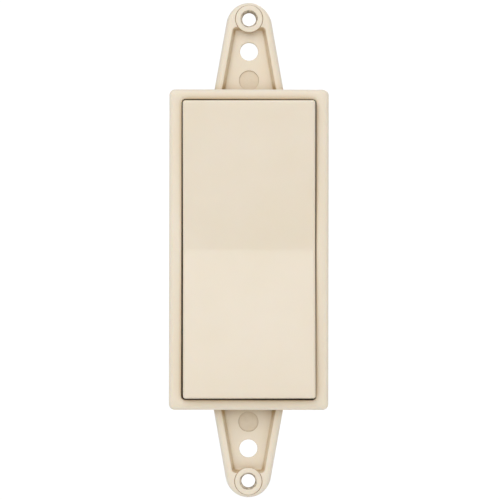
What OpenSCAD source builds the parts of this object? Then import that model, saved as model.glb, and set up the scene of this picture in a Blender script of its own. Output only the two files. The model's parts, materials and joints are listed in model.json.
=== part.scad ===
// Momentary rocker wall switch: an ivory frame with two mounting ears, a centre-returning
// rocker on a cross pin, and a contact mechanism in a dark body behind the frame.
// X runs across, Z runs up, the front faces -Y, and y = 0 is the plane of the ears' backs.

/* [Frame] */
// Width of the raised frame
frame_w = 33.3; // [29:0.1:40]
// Height of the raised frame
frame_h = 66.8; // [55:0.1:80]
// How far the frame's front stands out from the mounting plane
frame_d = 8; // [7:0.1:10]
// Radius of the frame's outer corners
frame_corner_r = 1.25; // [0.6:0.05:3]
// Visible width of the side bars
side_bar = 2.65; // [1.8:0.05:3.5]
// Visible width of the top and bottom bars
end_bar = 2.15; // [1.8:0.05:3.5]
// Radius of the opening's corners
opening_corner_r = 0.8; // [0.4:0.1:1.5]

/* [Ears] */
// Thickness of the ears at the rim
ear_t = 3.3; // [2.5:0.1:4]
// Thickness of the pocket floor
ear_floor_t = 1.4; // [1:0.1:2]
// Radius of the ear's round tip
ear_tip_r = 4.8; // [4:0.1:6]
// Distance from the frame's end to the centre of the tip radius
ear_reach = 13.75; // [12:0.05:16]
// Angle at which each side of an ear spreads
ear_spread = 10.1; // [6:0.1:14]
// Width of the rim around the pocket
ear_rim = 1.65; // [1.2:0.05:2]
// Radius of the pocket's corners
pocket_corner_r = 0.6; // [0.3:0.1:1]
// Distance from the frame's end to the box screw hole
box_hole_out = 8.27; // [7:0.01:9]
// Diameter of the box screw hole
box_hole_d = 3.8; // [3.6:0.05:4.2]
// Distance from the frame's end to the plate screw hole
plate_hole_out = 15.02; // [13.5:0.01:17]
// Diameter of the tapped plate screw hole
plate_hole_d = 2.76; // [2.6:0.02:2.9]
// Diameter of the boss around the plate screw hole
plate_boss_d = 5.6; // [4.8:0.1:6]
// Diameter of the round mould mark in the pocket
mould_mark_d = 4.2; // [3:0.1:5]
// Depth of the round mould mark
mould_mark_t = 0.2; // [0.1:0.05:0.4]
// Distance from the frame's end to the mould mark
mould_mark_out = 2.4; // [2.2:0.1:3.5]

/* [Rocker] */
// Gap between the rocker's sides and the frame
side_gap = 0.2; // [0.15:0.05:0.6]
// Gap between the rocker's ends and the frame
end_gap = 0.3; // [0.3:0.02:0.8]
// How far the crease stands proud of the frame
crease_proud = 0.6; // [0.3:0.1:1.5]
// Angle of each half of the face, which is also the tilt each way
tilt = 3.6; // [2.5:0.1:4.5]
// Thickness of the rocker's face
face_t = 1.5; // [1.2:0.1:2]
// Thickness of the rocker's side and end walls
skirt_t = 1.3; // [1:0.1:1.6]
// Radius of the rocker's corners
rocker_corner_r = 0.6; // [0.3:0.05:1.5]
// Depth of the pivot behind the crease
pivot_depth = 3.8; // [3.6:0.1:5]
// How far the walls reach behind the pivot
skirt_below_pivot = 0.5; // [0.2:0.1:1]

/* [Pivot] */
// Diameter of the pivot pin
pin_d = 2; // [1.6:0.1:2.4]
// Running clearance around the pin in the rocker's lugs
pin_clearance = 0.05; // [0.02:0.01:0.1]
// Interference of the pin in the posts
pin_press = 0.01; // [0.005:0.005:0.02]
// Radius of the lugs and posts around the pin
lug_r = 1.9; // [1.7:0.1:2.1]
// Thickness of each post and each lug
lug_t = 2.2; // [1.6:0.1:3]
// Side gap between the rocker's wall, the posts and the lugs
lug_gap = 0.3; // [0.2:0.05:0.5]

/* [Plungers] */
// Distance from the end of the mechanism chamber to a plunger
plunger_inset = 6.5; // [6:0.1:8]
// Diameter of a plunger's stem
stem_d = 4.4; // [3.6:0.1:5]
// Running clearance around the stem
stem_clearance = 0.05; // [0.02:0.01:0.1]
// Gap between the rocker's pushers and the plungers
pusher_gap = 0.03; // [0.02:0.01:0.05]
// Radius of the rocker's round pushers
pusher_r = 1; // [0.6:0.1:1.5]
// Length of the rocker's pushers
pusher_w = 5; // [3:0.5:8]
// Height of the plunger's crosshead
crosshead_t = 2.5; // [2:0.1:3.5]
// Depth of the crosshead's front below the cover
crosshead_depth = 6.4; // [6:0.1:8]
// Width of the crosshead along the switch
crosshead_h = 4.6; // [4:0.1:5]
// Diameter of the spigot below the crosshead
spigot_d = 2.4; // [2:0.1:3]

/* [Contacts] */
// Thickness of a contact bridge
bridge_t = 0.6; // [0.4:0.1:1]
// Length of a contact bridge
bridge_w = 14; // [12.6:0.2:16]
// Width of a contact bridge and of the fixed fingers
strip_w = 4; // [3.2:0.1:4.4]
// Distance of each contact from the centre line
contact_x = 4.6; // [4.6:0.1:5.5]
// Diameter of a contact's head
contact_d = 2.4; // [1.8:0.1:2.8]
// Thickness of a contact's head
contact_t = 0.7; // [0.5:0.05:1]
// Diameter of a contact's shank
contact_shank_d = 1.3; // [1:0.1:1.6]
// Gap that is left between closed contacts in the rigid model
closed_gap = 0.04; // [0.02:0.01:0.08]
// Thickness of the brass terminal strips
strip_t = 0.8; // [0.5:0.1:1.2]
// Thickness of the push-on retainer
retainer_t = 0.4; // [0.3:0.1:0.6]
// Outer diameter of the push-on retainer
retainer_d = 4.4; // [4:0.1:4.4]

/* [Return springs] */
// Outer diameter of a spring
spring_d = 4; // [3.4:0.1:4.2]
// Diameter of the spring wire
wire_d = 0.4; // [0.3:0.05:0.5]
// Number of turns
spring_turns = 6; // [4:0.5:9]

/* [Body] */
// Depth of the body behind the mounting plane
body_d = 22; // [21:0.5:30]
// How much narrower the body is than the frame on each side
body_side_inset = 2.15; // [1.6:0.05:3]
// How much shorter the body is than the frame at each end
body_end_inset = 9.4; // [9:0.1:11]
// Wall thickness of the body
body_wall = 1.5; // [1.2:0.1:2]
// Thickness of the body's floor
floor_t = 3; // [2.8:0.1:4]
// Thickness of the body's front flange
flange_t = 2.5; // [2.2:0.1:3.5]
// How far the flange stays inside the frame's outline
flange_inset = 1.15; // [0.8:0.05:2]
// How deep the flange sits in the back of the frame
flange_seat = 0.5; // [0.3:0.1:0.8]
// Thickness of the mechanism cover
cover_t = 1.6; // [1.2:0.1:2]
// Width of the ledge that the cover lies on
cover_ledge = 0.9; // [0.7:0.1:1.1]
// Clearance around the cover
cover_gap = 0.1; // [0.05:0.05:0.2]
// Outer diameter of the cover's guide tubes
guide_d = 7.2; // [6.4:0.1:8]
// Length of the guide tubes behind the cover
guide_l = 3.9; // [3:0.1:4.5]
// Thickness of the ribs that guide a crosshead
rib_t = 1.2; // [0.8:0.1:1.6]
// Clearance beside a crosshead
rib_gap = 0.3; // [0.2:0.05:0.4]

/* [Fasteners] */
// Diameter of the body screws
screw_d = 1.9; // [1.6:0.1:2.2]
// Diameter of their heads
screw_head_d = 3.8; // [3.2:0.1:4]
// Height of their heads
screw_head_t = 1.4; // [1:0.1:1.8]
// How far they reach into the frame's bosses
screw_grip = 3.6; // [3:0.1:3.8]
// Diameter of the screw bosses in the frame
boss_d = 4.2; // [3.8:0.1:4.4]
// Diameter of the terminal screws
terminal_screw_d = 2.9; // [2.5:0.1:3]
// Diameter of the terminal screws' heads
terminal_head_d = 5.8; // [5:0.1:6]
// Height of the terminal screws' heads
terminal_head_t = 1.9; // [1.4:0.1:2.4]
// Width of the square clamp plates and of the terminal tabs
clamp_w = 7; // [6.2:0.1:7.4]
// Thickness of the clamp plates
clamp_t = 0.8; // [0.6:0.1:1]
// Size of the terminal nuts across their flats
nut_w = 5.5; // [5:0.1:5.6]
// Thickness of the terminal nuts
nut_t = 1.8; // [1.4:0.1:1.9]
// Height of the barriers between the terminals
barrier_d = 4.6; // [3:0.1:6]
// Thickness of the barriers
barrier_t = 1.4; // [1:0.1:1.6]

/* [Hidden] */
$fn = 72;
ivory = [0.93, 0.87, 0.77];
cut = 1;
sink = 0.5;

// Frame, opening and rocker, seen from the front
open_w = frame_w - 2 * side_bar;
open_h = frame_h - 2 * end_bar;
rocker_w = open_w - 2 * side_gap;
rocker_h = open_h - 2 * end_gap;
rocker_in_w = rocker_w - 2 * skirt_t;
rocker_in_h = rocker_h - 2 * skirt_t;

// Depths of the rocker, from the crease to the pivot and the frame's stop ledge
crease_y = -frame_d - crease_proud;
end_y = crease_y - rocker_h / 2 * tan(tilt);
pivot_y = crease_y + pivot_depth;
skirt_y = pivot_y + skirt_below_pivot;
stop_gap = 0.06;
skirt_low_y = pivot_y + skirt_below_pivot * cos(tilt) + rocker_h / 2 * sin(tilt);
ledge_y = skirt_low_y + stop_gap;

// Posts, lugs and pin, counted inwards from the rocker's side wall
post_x1 = rocker_in_w / 2 - lug_gap;
post_x0 = post_x1 - lug_t;
lug_x1 = post_x0 - lug_gap;
lug_x0 = lug_x1 - lug_t;

// Body, chamber, cover and screws
body_w = frame_w - 2 * body_side_inset;
body_h = frame_h - 2 * body_end_inset;
room_w = body_w - 2 * body_wall;
room_h = body_h - 2 * body_wall;
cover_w = room_w + 2 * cover_ledge - 2 * cover_gap;
cover_h = room_h + 2 * cover_ledge - 2 * cover_gap;
cover_grip = 1.8;
post_foot_d = 1.2;
post_foot_half = 2 * lug_r;
rib_over_pivot = 0.3;
cross_rib_t = 1.2;
window_w = 2 * (post_x1 + lug_gap);
window_h = cover_h - 2 * cover_grip;
flange_w = frame_w - 2 * flange_inset;
flange_h = frame_h - 2 * flange_inset;
flange_corner_r = 1;
seat_gap = 0.15;
room_y = body_d - floor_t;
head_gap = 0.6;
screw_x = rocker_in_w / 2 - boss_d / 2 - lug_gap;
screw_z = body_h / 2 + screw_head_d / 2 + head_gap;
boss_l = 1.9;
boss_y = ledge_y - boss_l;
hole_run = 0.3;

// Plungers, bridges and contacts, from the front to the back
plunger_z = room_h / 2 - plunger_inset;
travel = plunger_z * tilt * PI / 180;
pusher_over_ledge = 1.3;
pusher_y = ledge_y - pusher_over_ledge;
plunger_y = pusher_y + pusher_gap;
crosshead_y = cover_t + crosshead_depth;
bridge_y = crosshead_y + crosshead_t;
washer_y = bridge_y + bridge_t;
spring_y = washer_y + retainer_t;
fixed_contact_y = washer_y + contact_t + travel + closed_gap;
finger_y = fixed_contact_y + contact_t;
spigot_end = 1.3;
spigot_l = bridge_t + retainer_t + spigot_end;
seat_l = 2;
slip = 0.02;
hole_gap = 0.1;
rib_clear = 0.4;
rib_x = contact_x + strip_w / 2 + rib_clear;
rib_above = 3;
crosshead_wing = 2.4;
crosshead_w = 2 * (rib_x + crosshead_wing);

// Terminals on the back of the body
terminals = [-plunger_z, 0, plunger_z];
leg_x = contact_x + strip_w / 2;
leg_step = 0.4;
leg_half = strip_w / 2 - leg_step;
pier_gap = 0.2;
pier_half = 1.8;
tab_in = 4;
slot_gap = 0.1;
plate_y = body_d + strip_t;
head_y = plate_y + clamp_t;
nut_gap = 0.15;
finger_half = 3;
finger_step = 0.8;
screw_pocket_gap = 0.5;
screw_pocket_d = terminal_screw_d + screw_pocket_gap;
screw_pocket_run = 0.6;
slot_w = 0.8;
slot_l = 1;
barrier_z = plunger_z / 2;
barrier_inset = 2;
barrier_w = body_w - 2 * barrier_inset;

// A corner-to-corner block
module block(a, b) {
    translate(a) cube(b - a);
}

// A shape drawn in X and Z, standing from y0 to y1
module slab(y0, y1) {
    translate([0, y1, 0]) rotate([90, 0, 0]) linear_extrude(y1 - y0) children();
}

// A round bar along Y
module bar_y(r, y0, y1) {
    translate([0, y1, 0]) rotate([90, 0, 0]) cylinder(r = r, h = y1 - y0);
}

// A round bar along X
module bar_x(r, x0, x1) {
    translate([x0, 0, 0]) rotate([0, 90, 0]) cylinder(r = r, h = x1 - x0);
}

// A rectangle about the centre with round corners
module round_rect(w, h, r) {
    square([w - 2 * r, h], center = true);
    square([w, h - 2 * r], center = true);
    for (x = [-1, 1], z = [-1, 1]) {
        translate([x * (w / 2 - r), z * (h / 2 - r)]) circle(r);
    }
}

// Both ends, and both sides
module ends() {
    children();
    mirror([0, 0, 1]) children();
}
module sides() {
    children();
    mirror([1, 0, 0]) children();
}

// Outline of one ear: a round tip between two spreading sides
tip_z = frame_h / 2 + ear_reach;
ear_root_z = frame_h / 2 - sink;
function ear_half(z, inset) =
    (ear_tip_r - inset) / cos(ear_spread) + (tip_z - z) * tan(ear_spread);
module ear_outline() {
    foot_z = tip_z + ear_tip_r * sin(ear_spread);
    translate([0, tip_z]) circle(ear_tip_r);
    polygon([
        [-ear_half(ear_root_z, 0), ear_root_z], [ear_half(ear_root_z, 0), ear_root_z],
        [ear_half(foot_z, 0), foot_z], [-ear_half(foot_z, 0), foot_z]
    ]);
}

// Outline of the pocket in an ear, with rounded outer corners
pocket_z = tip_z - sink;
module pocket_outline() {
    r = pocket_corner_r;
    corner_z = pocket_z - r;
    corner_x = ear_half(corner_z, ear_rim) - r / cos(ear_spread);
    edge_x = corner_x + r * cos(ear_spread);
    edge_z = corner_z + r * sin(ear_spread);
    root_x = ear_half(ear_root_z, ear_rim);
    polygon([
        [-root_x, frame_h / 2], [root_x, frame_h / 2], [edge_x, edge_z],
        [corner_x, pocket_z], [-corner_x, pocket_z], [-edge_x, edge_z]
    ]);
    for (s = [-1, 1]) translate([s * corner_x, corner_z]) circle(r);
}

module ear() {
    difference() {
        union() {
            difference() {
                slab(-ear_t, 0) ear_outline();
                slab(-ear_t - cut, -ear_floor_t) pocket_outline();
            }
            translate([0, 0, frame_h / 2 + plate_hole_out]) bar_y(plate_boss_d / 2, -ear_t, 0);
        }
        translate([0, 0, frame_h / 2 + plate_hole_out]) bar_y(plate_hole_d / 2, -ear_t - cut, cut);
        translate([0, 0, frame_h / 2 + box_hole_out]) bar_y(box_hole_d / 2, -ear_t - cut, cut);
        translate([0, 0, frame_h / 2 + mould_mark_out])
            bar_y(mould_mark_d / 2, -ear_t - cut, -ear_floor_t + mould_mark_t);
    }
}

// One moulding: raised frame, stop ledge, screw bosses and both ears
module mounting_frame() {
    color(ivory) difference() {
        union() {
            difference() {
                slab(-frame_d, 0) round_rect(frame_w, frame_h, frame_corner_r);
                slab(-frame_d - cut, ledge_y) round_rect(open_w, open_h, opening_corner_r);
                slab(-flange_seat, cut)
                    round_rect(flange_w + 2 * seat_gap, flange_h + 2 * seat_gap, flange_corner_r);
            }
            ends() ear();
            ends() sides() translate([screw_x, 0, screw_z]) bar_y(boss_d / 2, boss_y, -flange_seat);
        }
        block([-window_w / 2, -frame_d, -window_h / 2], [window_w / 2, cut, window_h / 2]);
        ends() sides() translate([screw_x, 0, screw_z])
            bar_y(screw_d / 2 + slip, -screw_grip - hole_run, cut);
    }
}

// Side profile of the rocker, drawn in Y and Z and swept across its width
module rocker_profile(w, half_h, crease, low) {
    drop = half_h * tan(tilt);
    translate([-w / 2, 0, 0]) rotate([90, 0, 90]) linear_extrude(w) polygon([
        [low, -half_h], [crease - drop, -half_h], [crease, 0],
        [crease - drop, half_h], [low, half_h]
    ]);
}

// Hollow rocker with hinge lugs, round pushers and stiffening ribs
module rocker() {
    under_y = crease_y + face_t;
    rib_low_y = pivot_y - rib_over_pivot;
    color(ivory) difference() {
        intersection() {
            rocker_profile(rocker_w, rocker_h / 2, crease_y, skirt_y);
            slab(end_y - cut, 0) round_rect(rocker_w, rocker_h, rocker_corner_r);
        }
        difference() {
            rocker_profile(rocker_in_w, rocker_in_h / 2, under_y, skirt_y + cut);
            sides() block([lug_x0, under_y - cut, -lug_r], [lug_x1, pivot_y, lug_r]);
            sides() translate([0, pivot_y, 0]) bar_x(lug_r, lug_x0, lug_x1);
            ends() block([-pusher_w / 2, end_y, plunger_z - pusher_r],
                [pusher_w / 2, pusher_y - pusher_r, plunger_z + pusher_r]);
            ends() translate([0, pusher_y - pusher_r, plunger_z])
                bar_x(pusher_r, -pusher_w / 2, pusher_w / 2);
            sides() block([lug_x0, end_y, -plunger_z], [lug_x0 + skirt_t, rib_low_y, plunger_z]);
            ends() block([-lug_x0 - cut, end_y, plunger_z - cross_rib_t / 2],
                [lug_x0 + cut, rib_low_y, plunger_z + cross_rib_t / 2]);
        }
        sides() translate([0, pivot_y, 0])
            bar_x(pin_d / 2 + pin_clearance, lug_x0 - cut, lug_x1 + cut);
    }
}

module pivot_pin() {
    color("silver") translate([0, pivot_y, 0]) bar_x(pin_d / 2, -post_x1, post_x1);
}

// Plate that closes the chamber, with the hinge posts and the plungers' guide tubes
module mechanism_cover() {
    color([0.16, 0.16, 0.17]) difference() {
        union() {
            block([-cover_w / 2, -flange_seat, -cover_h / 2], [cover_w / 2, cover_t, cover_h / 2]);
            sides() block([post_x0, pivot_y, -lug_r], [post_x1, cover_t, lug_r]);
            sides() translate([0, pivot_y, 0]) bar_x(lug_r, post_x0, post_x1);
            sides() block([post_x0, -post_foot_d, -post_foot_half],
                [post_x1, cover_t, post_foot_half]);
            ends() translate([0, 0, plunger_z]) bar_y(guide_d / 2, 0, cover_t + guide_l);
        }
        translate([0, pivot_y, 0]) bar_x(pin_d / 2 - pin_press, -post_x1 - cut, post_x1 + cut);
        ends() translate([0, 0, plunger_z])
            bar_y(stem_d / 2 + stem_clearance, -cut, cover_t + guide_l + cut);
    }
}

// Slot through the floor for a strip's leg: s is its side
module leg_slot(s, z, half_h, room) {
    x0 = leg_x - strip_t;
    block([min(s * x0, s * leg_x) - room, finger_y, z - half_h - room],
        [max(s * x0, s * leg_x) + room, body_d + cut, z + half_h + room]);
}

// Pier that backs a brass finger, beside the strip's leg
module pier() {
    block([contact_x - strip_w / 2 + pier_gap, finger_y + strip_t, -pier_half],
        [leg_x - strip_t - pier_gap, room_y + sink, pier_half]);
}

// Box with the chamber, contact piers, guide ribs, spring seats and terminal barriers
module switch_body() {
    color([0.13, 0.13, 0.14]) difference() {
        union() {
            difference() {
                union() {
                    block([-body_w / 2, 0, -body_h / 2], [body_w / 2, body_d, body_h / 2]);
                    slab(-flange_seat, flange_t) round_rect(flange_w, flange_h, flange_corner_r);
                    ends() block([-barrier_w / 2, body_d, barrier_z - barrier_t / 2],
                        [barrier_w / 2, body_d + barrier_d, barrier_z + barrier_t / 2]);
                    ends() block([-barrier_w / 2, body_d, body_h / 2 - barrier_t],
                        [barrier_w / 2, body_d + barrier_d, body_h / 2]);
                }
                block([-room_w / 2, -cut, -room_h / 2], [room_w / 2, room_y, room_h / 2]);
                block([-cover_w / 2 - cover_gap, -cut, -cover_h / 2 - cover_gap],
                    [cover_w / 2 + cover_gap, cover_t, cover_h / 2 + cover_gap]);
            }
            ends() sides() for (d = [-1, 1]) {
                z0 = plunger_z + d * (crosshead_h / 2 + rib_gap + rib_t / 2);
                block([rib_x, crosshead_y - rib_above, z0 - rib_t / 2],
                    [room_w / 2 + sink, room_y + sink, z0 + rib_t / 2]);
            }
            ends() translate([0, 0, plunger_z]) bar_y(spigot_d / 2, room_y - seat_l, room_y + sink);
            ends() sides() translate([0, 0, plunger_z]) pier();
            mirror([1, 0, 0]) pier();
        }
        ends() sides() translate([screw_x, 0, screw_z])
            bar_y(screw_d / 2 + hole_gap, -cut, flange_t + cut);
        ends() sides() translate([contact_x, 0, plunger_z])
            bar_y(contact_shank_d / 2 + pier_gap, finger_y, finger_y + strip_t + sink);
        leg_slot(-1, 0, leg_half, slot_gap);
        ends() leg_slot(1, plunger_z, leg_half, slot_gap);
        for (z = terminals) translate([0, 0, z]) {
            bar_y(screw_pocket_d / 2, body_d - nut_t - screw_pocket_run, body_d + cut);
            translate([0, body_d + cut, 0]) rotate([90, 30, 0])
                cylinder(d = (nut_w + nut_gap) / cos(30), h = nut_t + nut_gap + cut, $fn = 6);
        }
    }
}

module body_screws() {
    head_end = flange_t + screw_head_t;
    recess_w = 2.4;
    recess_t = 0.5;
    recess_d = 0.8;
    color("silver") ends() sides() translate([screw_x, 0, screw_z]) difference() {
        union() {
            bar_y(screw_d / 2, -screw_grip, flange_t);
            bar_y(screw_head_d / 2, flange_t, head_end);
        }
        for (turn = [0, 90]) rotate([0, turn, 0])
            block([-recess_w / 2, head_end - recess_d, -recess_t / 2],
                [recess_w / 2, head_end + cut, recess_t / 2]);
    }
}

// Stem, crosshead and spigot in one moulding
module plunger(z) {
    color([0.92, 0.92, 0.88]) translate([0, 0, z]) {
        bar_y(stem_d / 2, plunger_y, crosshead_y + sink);
        block([-crosshead_w / 2, crosshead_y, -crosshead_h / 2],
            [crosshead_w / 2, bridge_y, crosshead_h / 2]);
        bar_y(spigot_d / 2, bridge_y - sink, bridge_y + spigot_l);
    }
}
module upper_plunger() {
    plunger(plunger_z);
}
module lower_plunger() {
    plunger(-plunger_z);
}

// Springy strip that joins two contacts when its plunger is pressed
module contact_bridge(z) {
    color([0.80, 0.55, 0.30]) translate([0, 0, z]) difference() {
        block([-bridge_w / 2, bridge_y, -strip_w / 2], [bridge_w / 2, washer_y, strip_w / 2]);
        bar_y(spigot_d / 2 + hole_gap, bridge_y - cut, washer_y + cut);
        sides() translate([contact_x, 0, 0])
            bar_y(contact_shank_d / 2 + slip, bridge_y - cut, washer_y + cut);
    }
}
module upper_contact_bridge() {
    contact_bridge(plunger_z);
}
module lower_contact_bridge() {
    contact_bridge(-plunger_z);
}

// A riveted contact: its head faces dir along Y, its shank goes through the strip behind it
module rivet_contact(x, y, z, dir, strip) {
    color([0.88, 0.88, 0.90]) translate([x, y, z]) {
        bar_y(contact_d / 2, min(0, dir * contact_t), max(0, dir * contact_t));
        bar_y(contact_shank_d / 2, min(0, -dir * strip), max(0, -dir * strip));
    }
}
module moving_contacts(z) {
    for (s = [-1, 1]) rivet_contact(s * contact_x, washer_y, z, 1, bridge_t);
}
module upper_moving_contacts() {
    moving_contacts(plunger_z);
}
module lower_moving_contacts() {
    moving_contacts(-plunger_z);
}

// Push-on washer that holds a bridge on its plunger and seats the spring
module retainer(z) {
    color("silver") translate([0, 0, z]) difference() {
        bar_y(retainer_d / 2, washer_y, spring_y);
        bar_y(spigot_d / 2 + slip, washer_y - cut, spring_y + cut);
    }
}
module upper_bridge_retainer() {
    retainer(plunger_z);
}
module lower_bridge_retainer() {
    retainer(-plunger_z);
}

// Round wire swept along a helix about Y, with flat-cut ends
coil_steps = 18;
wire_sides = 8;
module coil_spring(y0, y1) {
    r = (spring_d - wire_d) / 2;
    first = y0 + wire_d / 2 + slip;
    last = y1 - wire_d / 2 - slip;
    n = coil_steps * spring_turns;
    points = [for (i = [0:n]) let (a = 360 * i / coil_steps, y = first + (last - first) * i / n)
        for (k = [0:wire_sides - 1]) let (b = 360 * k / wire_sides, q = r + wire_d / 2 * cos(b))
            [q * cos(a), y + wire_d / 2 * sin(b), q * sin(a)]];
    walls = [for (i = [0:n - 1], k = [0:wire_sides - 1]) let (j = (k + 1) % wire_sides)
        [i * wire_sides + j, i * wire_sides + k, (i + 1) * wire_sides + k, (i + 1) * wire_sides + j]];
    start = [for (k = [0:wire_sides - 1]) k];
    finish = [for (k = [wire_sides - 1:-1:0]) n * wire_sides + k];
    color("gray") polyhedron(points, concat([start], walls, [finish]), convexity = 10);
}
module upper_return_spring() {
    translate([0, 0, plunger_z]) coil_spring(spring_y, room_y);
}
module lower_return_spring() {
    translate([0, 0, -plunger_z]) coil_spring(spring_y, room_y);
}

// A bent brass strip: fingers under the bridges, a leg through the floor, a tab on the back
module terminal_strip(s, z, finger_z0, finger_z1, contact_zs) {
    in_x = contact_x - strip_w / 2;
    color([0.83, 0.67, 0.36]) difference() {
        union() {
            block([min(s * in_x, s * leg_x), finger_y, finger_z0],
                [max(s * in_x, s * leg_x), finger_y + strip_t, finger_z1]);
            block([min(s * (leg_x - strip_t), s * leg_x), finger_y, z - leg_half],
                [max(s * (leg_x - strip_t), s * leg_x), plate_y, z + leg_half]);
            block([min(-s * tab_in, s * leg_x), body_d, z - leg_half],
                [max(-s * tab_in, s * leg_x), plate_y, z + leg_half]);
            block([-clamp_w / 2, body_d, z - clamp_w / 2], [clamp_w / 2, plate_y, z + clamp_w / 2]);
        }
        translate([0, 0, z]) bar_y(terminal_screw_d / 2 + hole_gap, body_d - cut, plate_y + cut);
        for (c = contact_zs) translate([s * contact_x, 0, c])
            bar_y(contact_shank_d / 2 + slip, finger_y - cut, finger_y + strip_t + cut);
    }
}
module common_terminal() {
    end = plunger_z + finger_half - finger_step;
    terminal_strip(-1, 0, -end, end, [-plunger_z, plunger_z]);
}
module upper_terminal() {
    terminal_strip(1, plunger_z, plunger_z - finger_half, plunger_z + finger_half, [plunger_z]);
}
module lower_terminal() {
    terminal_strip(1, -plunger_z, -plunger_z - finger_half, -plunger_z + finger_half, [-plunger_z]);
}

module common_fixed_contacts() {
    for (s = [-1, 1]) rivet_contact(-contact_x, finger_y, s * plunger_z, -1, strip_t);
}
module upper_fixed_contact() {
    rivet_contact(contact_x, finger_y, plunger_z, -1, strip_t);
}
module lower_fixed_contact() {
    rivet_contact(contact_x, finger_y, -plunger_z, -1, strip_t);
}

module terminal_screws() {
    color("silver") for (z = terminals) translate([0, 0, z]) difference() {
        union() {
            bar_y(terminal_screw_d / 2, body_d - nut_t, head_y);
            bar_y(terminal_head_d / 2, head_y, head_y + terminal_head_t);
        }
        block([-terminal_head_d, head_y + terminal_head_t - slot_l, -slot_w / 2],
            [terminal_head_d, head_y + terminal_head_t + cut, slot_w / 2]);
    }
}

module clamp_plates() {
    color("lightgray") for (z = terminals) translate([0, 0, z]) difference() {
        block([-clamp_w / 2, plate_y, -clamp_w / 2], [clamp_w / 2, head_y, clamp_w / 2]);
        bar_y(terminal_screw_d / 2 + hole_gap, plate_y - cut, head_y + cut);
    }
}

module terminal_nuts() {
    color("gray") for (z = terminals) translate([0, 0, z]) difference() {
        translate([0, body_d, 0]) rotate([90, 30, 0]) cylinder(d = nut_w / cos(30), h = nut_t, $fn = 6);
        bar_y(terminal_screw_d / 2 + slip, body_d - nut_t - cut, body_d + cut);
    }
}

mounting_frame();
rocker();
pivot_pin();
mechanism_cover();
switch_body();
body_screws();
upper_plunger();
lower_plunger();
upper_contact_bridge();
lower_contact_bridge();
upper_moving_contacts();
lower_moving_contacts();
upper_bridge_retainer();
lower_bridge_retainer();
upper_return_spring();
lower_return_spring();
common_terminal();
upper_terminal();
lower_terminal();
common_fixed_contacts();
upper_fixed_contact();
lower_fixed_contact();
terminal_screws();
clamp_plates();
terminal_nuts();
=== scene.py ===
import json
import math

import bmesh
import bpy
from mathutils import Matrix, Vector
from mathutils.geometry import delaunay_2d_cdt


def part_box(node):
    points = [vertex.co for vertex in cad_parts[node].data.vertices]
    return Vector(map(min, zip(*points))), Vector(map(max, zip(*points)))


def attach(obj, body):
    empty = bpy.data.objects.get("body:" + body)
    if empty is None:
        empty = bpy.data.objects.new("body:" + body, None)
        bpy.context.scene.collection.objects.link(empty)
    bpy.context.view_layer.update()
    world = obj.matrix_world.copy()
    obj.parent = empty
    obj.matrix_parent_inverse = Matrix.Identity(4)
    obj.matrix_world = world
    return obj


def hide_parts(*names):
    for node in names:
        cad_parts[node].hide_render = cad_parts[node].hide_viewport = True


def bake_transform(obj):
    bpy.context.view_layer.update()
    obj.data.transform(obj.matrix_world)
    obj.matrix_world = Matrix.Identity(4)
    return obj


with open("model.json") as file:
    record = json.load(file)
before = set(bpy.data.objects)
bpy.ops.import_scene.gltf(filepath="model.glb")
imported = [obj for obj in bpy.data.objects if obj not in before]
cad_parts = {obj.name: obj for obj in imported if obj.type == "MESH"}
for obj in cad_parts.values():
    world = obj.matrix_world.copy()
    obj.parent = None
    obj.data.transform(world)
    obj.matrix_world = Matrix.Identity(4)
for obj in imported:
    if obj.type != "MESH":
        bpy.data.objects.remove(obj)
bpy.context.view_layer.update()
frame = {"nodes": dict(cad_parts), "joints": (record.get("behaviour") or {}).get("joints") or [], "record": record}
mm = 0.001


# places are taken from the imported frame
def span(node):
    low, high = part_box(node)
    return Vector(low), Vector(high)


mounts = {m["name"]: m for m in frame["record"]["mounts"]}
mouldLow, mouldHigh = span("mounting_frame")
rockerLow, rockerHigh = span("rocker")
boxHoleZ = mounts["box_screws"]["dims"]["spacing_y_mm"] * mm / 2
plateHoleZ = mounts["plate_screws"]["dims"]["spacing_y_mm"] * mm / 2
rimY = mounts["plate_screws"]["pos_m"][1]
tiltJoint = next(j for j in frame["joints"] if j["name"] == "rocker_tilt")
tiltAngle = math.radians(tiltJoint["range_deg"][1])
pivotY = tiltJoint["pos_m"][1]


def newObject(name, mesh):
    obj = bpy.data.objects.new(name, mesh)
    bpy.context.scene.collection.objects.link(obj)
    return obj


def meshFrom(name, verts, faces):
    mesh = bpy.data.meshes.new(name)
    mesh.from_pydata([tuple(v) for v in verts], [], faces)
    mesh.update()
    return mesh


def tidyMesh(mesh, weld=1e-6):
    bm = bmesh.new()
    bm.from_mesh(mesh)
    bmesh.ops.remove_doubles(bm, verts=bm.verts, dist=weld)
    bmesh.ops.dissolve_degenerate(bm, edges=bm.edges, dist=weld)
    bmesh.ops.recalc_face_normals(bm, faces=bm.faces)
    bm.to_mesh(mesh)
    bm.free()


def closeSlivers(mesh):
    # joining solids can leave hair-thin gaps along their seams
    bm = bmesh.new()
    bm.from_mesh(mesh)
    bmesh.ops.remove_doubles(bm, verts=bm.verts, dist=5e-7)
    bmesh.ops.dissolve_degenerate(bm, edges=bm.edges, dist=2e-7)
    bmesh.ops.holes_fill(bm, edges=[e for e in bm.edges if len(e.link_faces) == 1], sides=12)
    bmesh.ops.recalc_face_normals(bm, faces=bm.faces)
    bm.to_mesh(mesh)
    bm.free()


def smoothShade(obj, sharpDeg=35):
    obj.data.polygons.foreach_set("use_smooth", [True] * len(obj.data.polygons))
    obj.data.set_sharp_from_angle(angle=math.radians(sharpDeg))
    obj.data.update()


def weighNormals(obj):
    mod = obj.modifiers.new("evenFaces", "WEIGHTED_NORMAL")
    mod.keep_sharp = True
    mod.weight = 90


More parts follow.
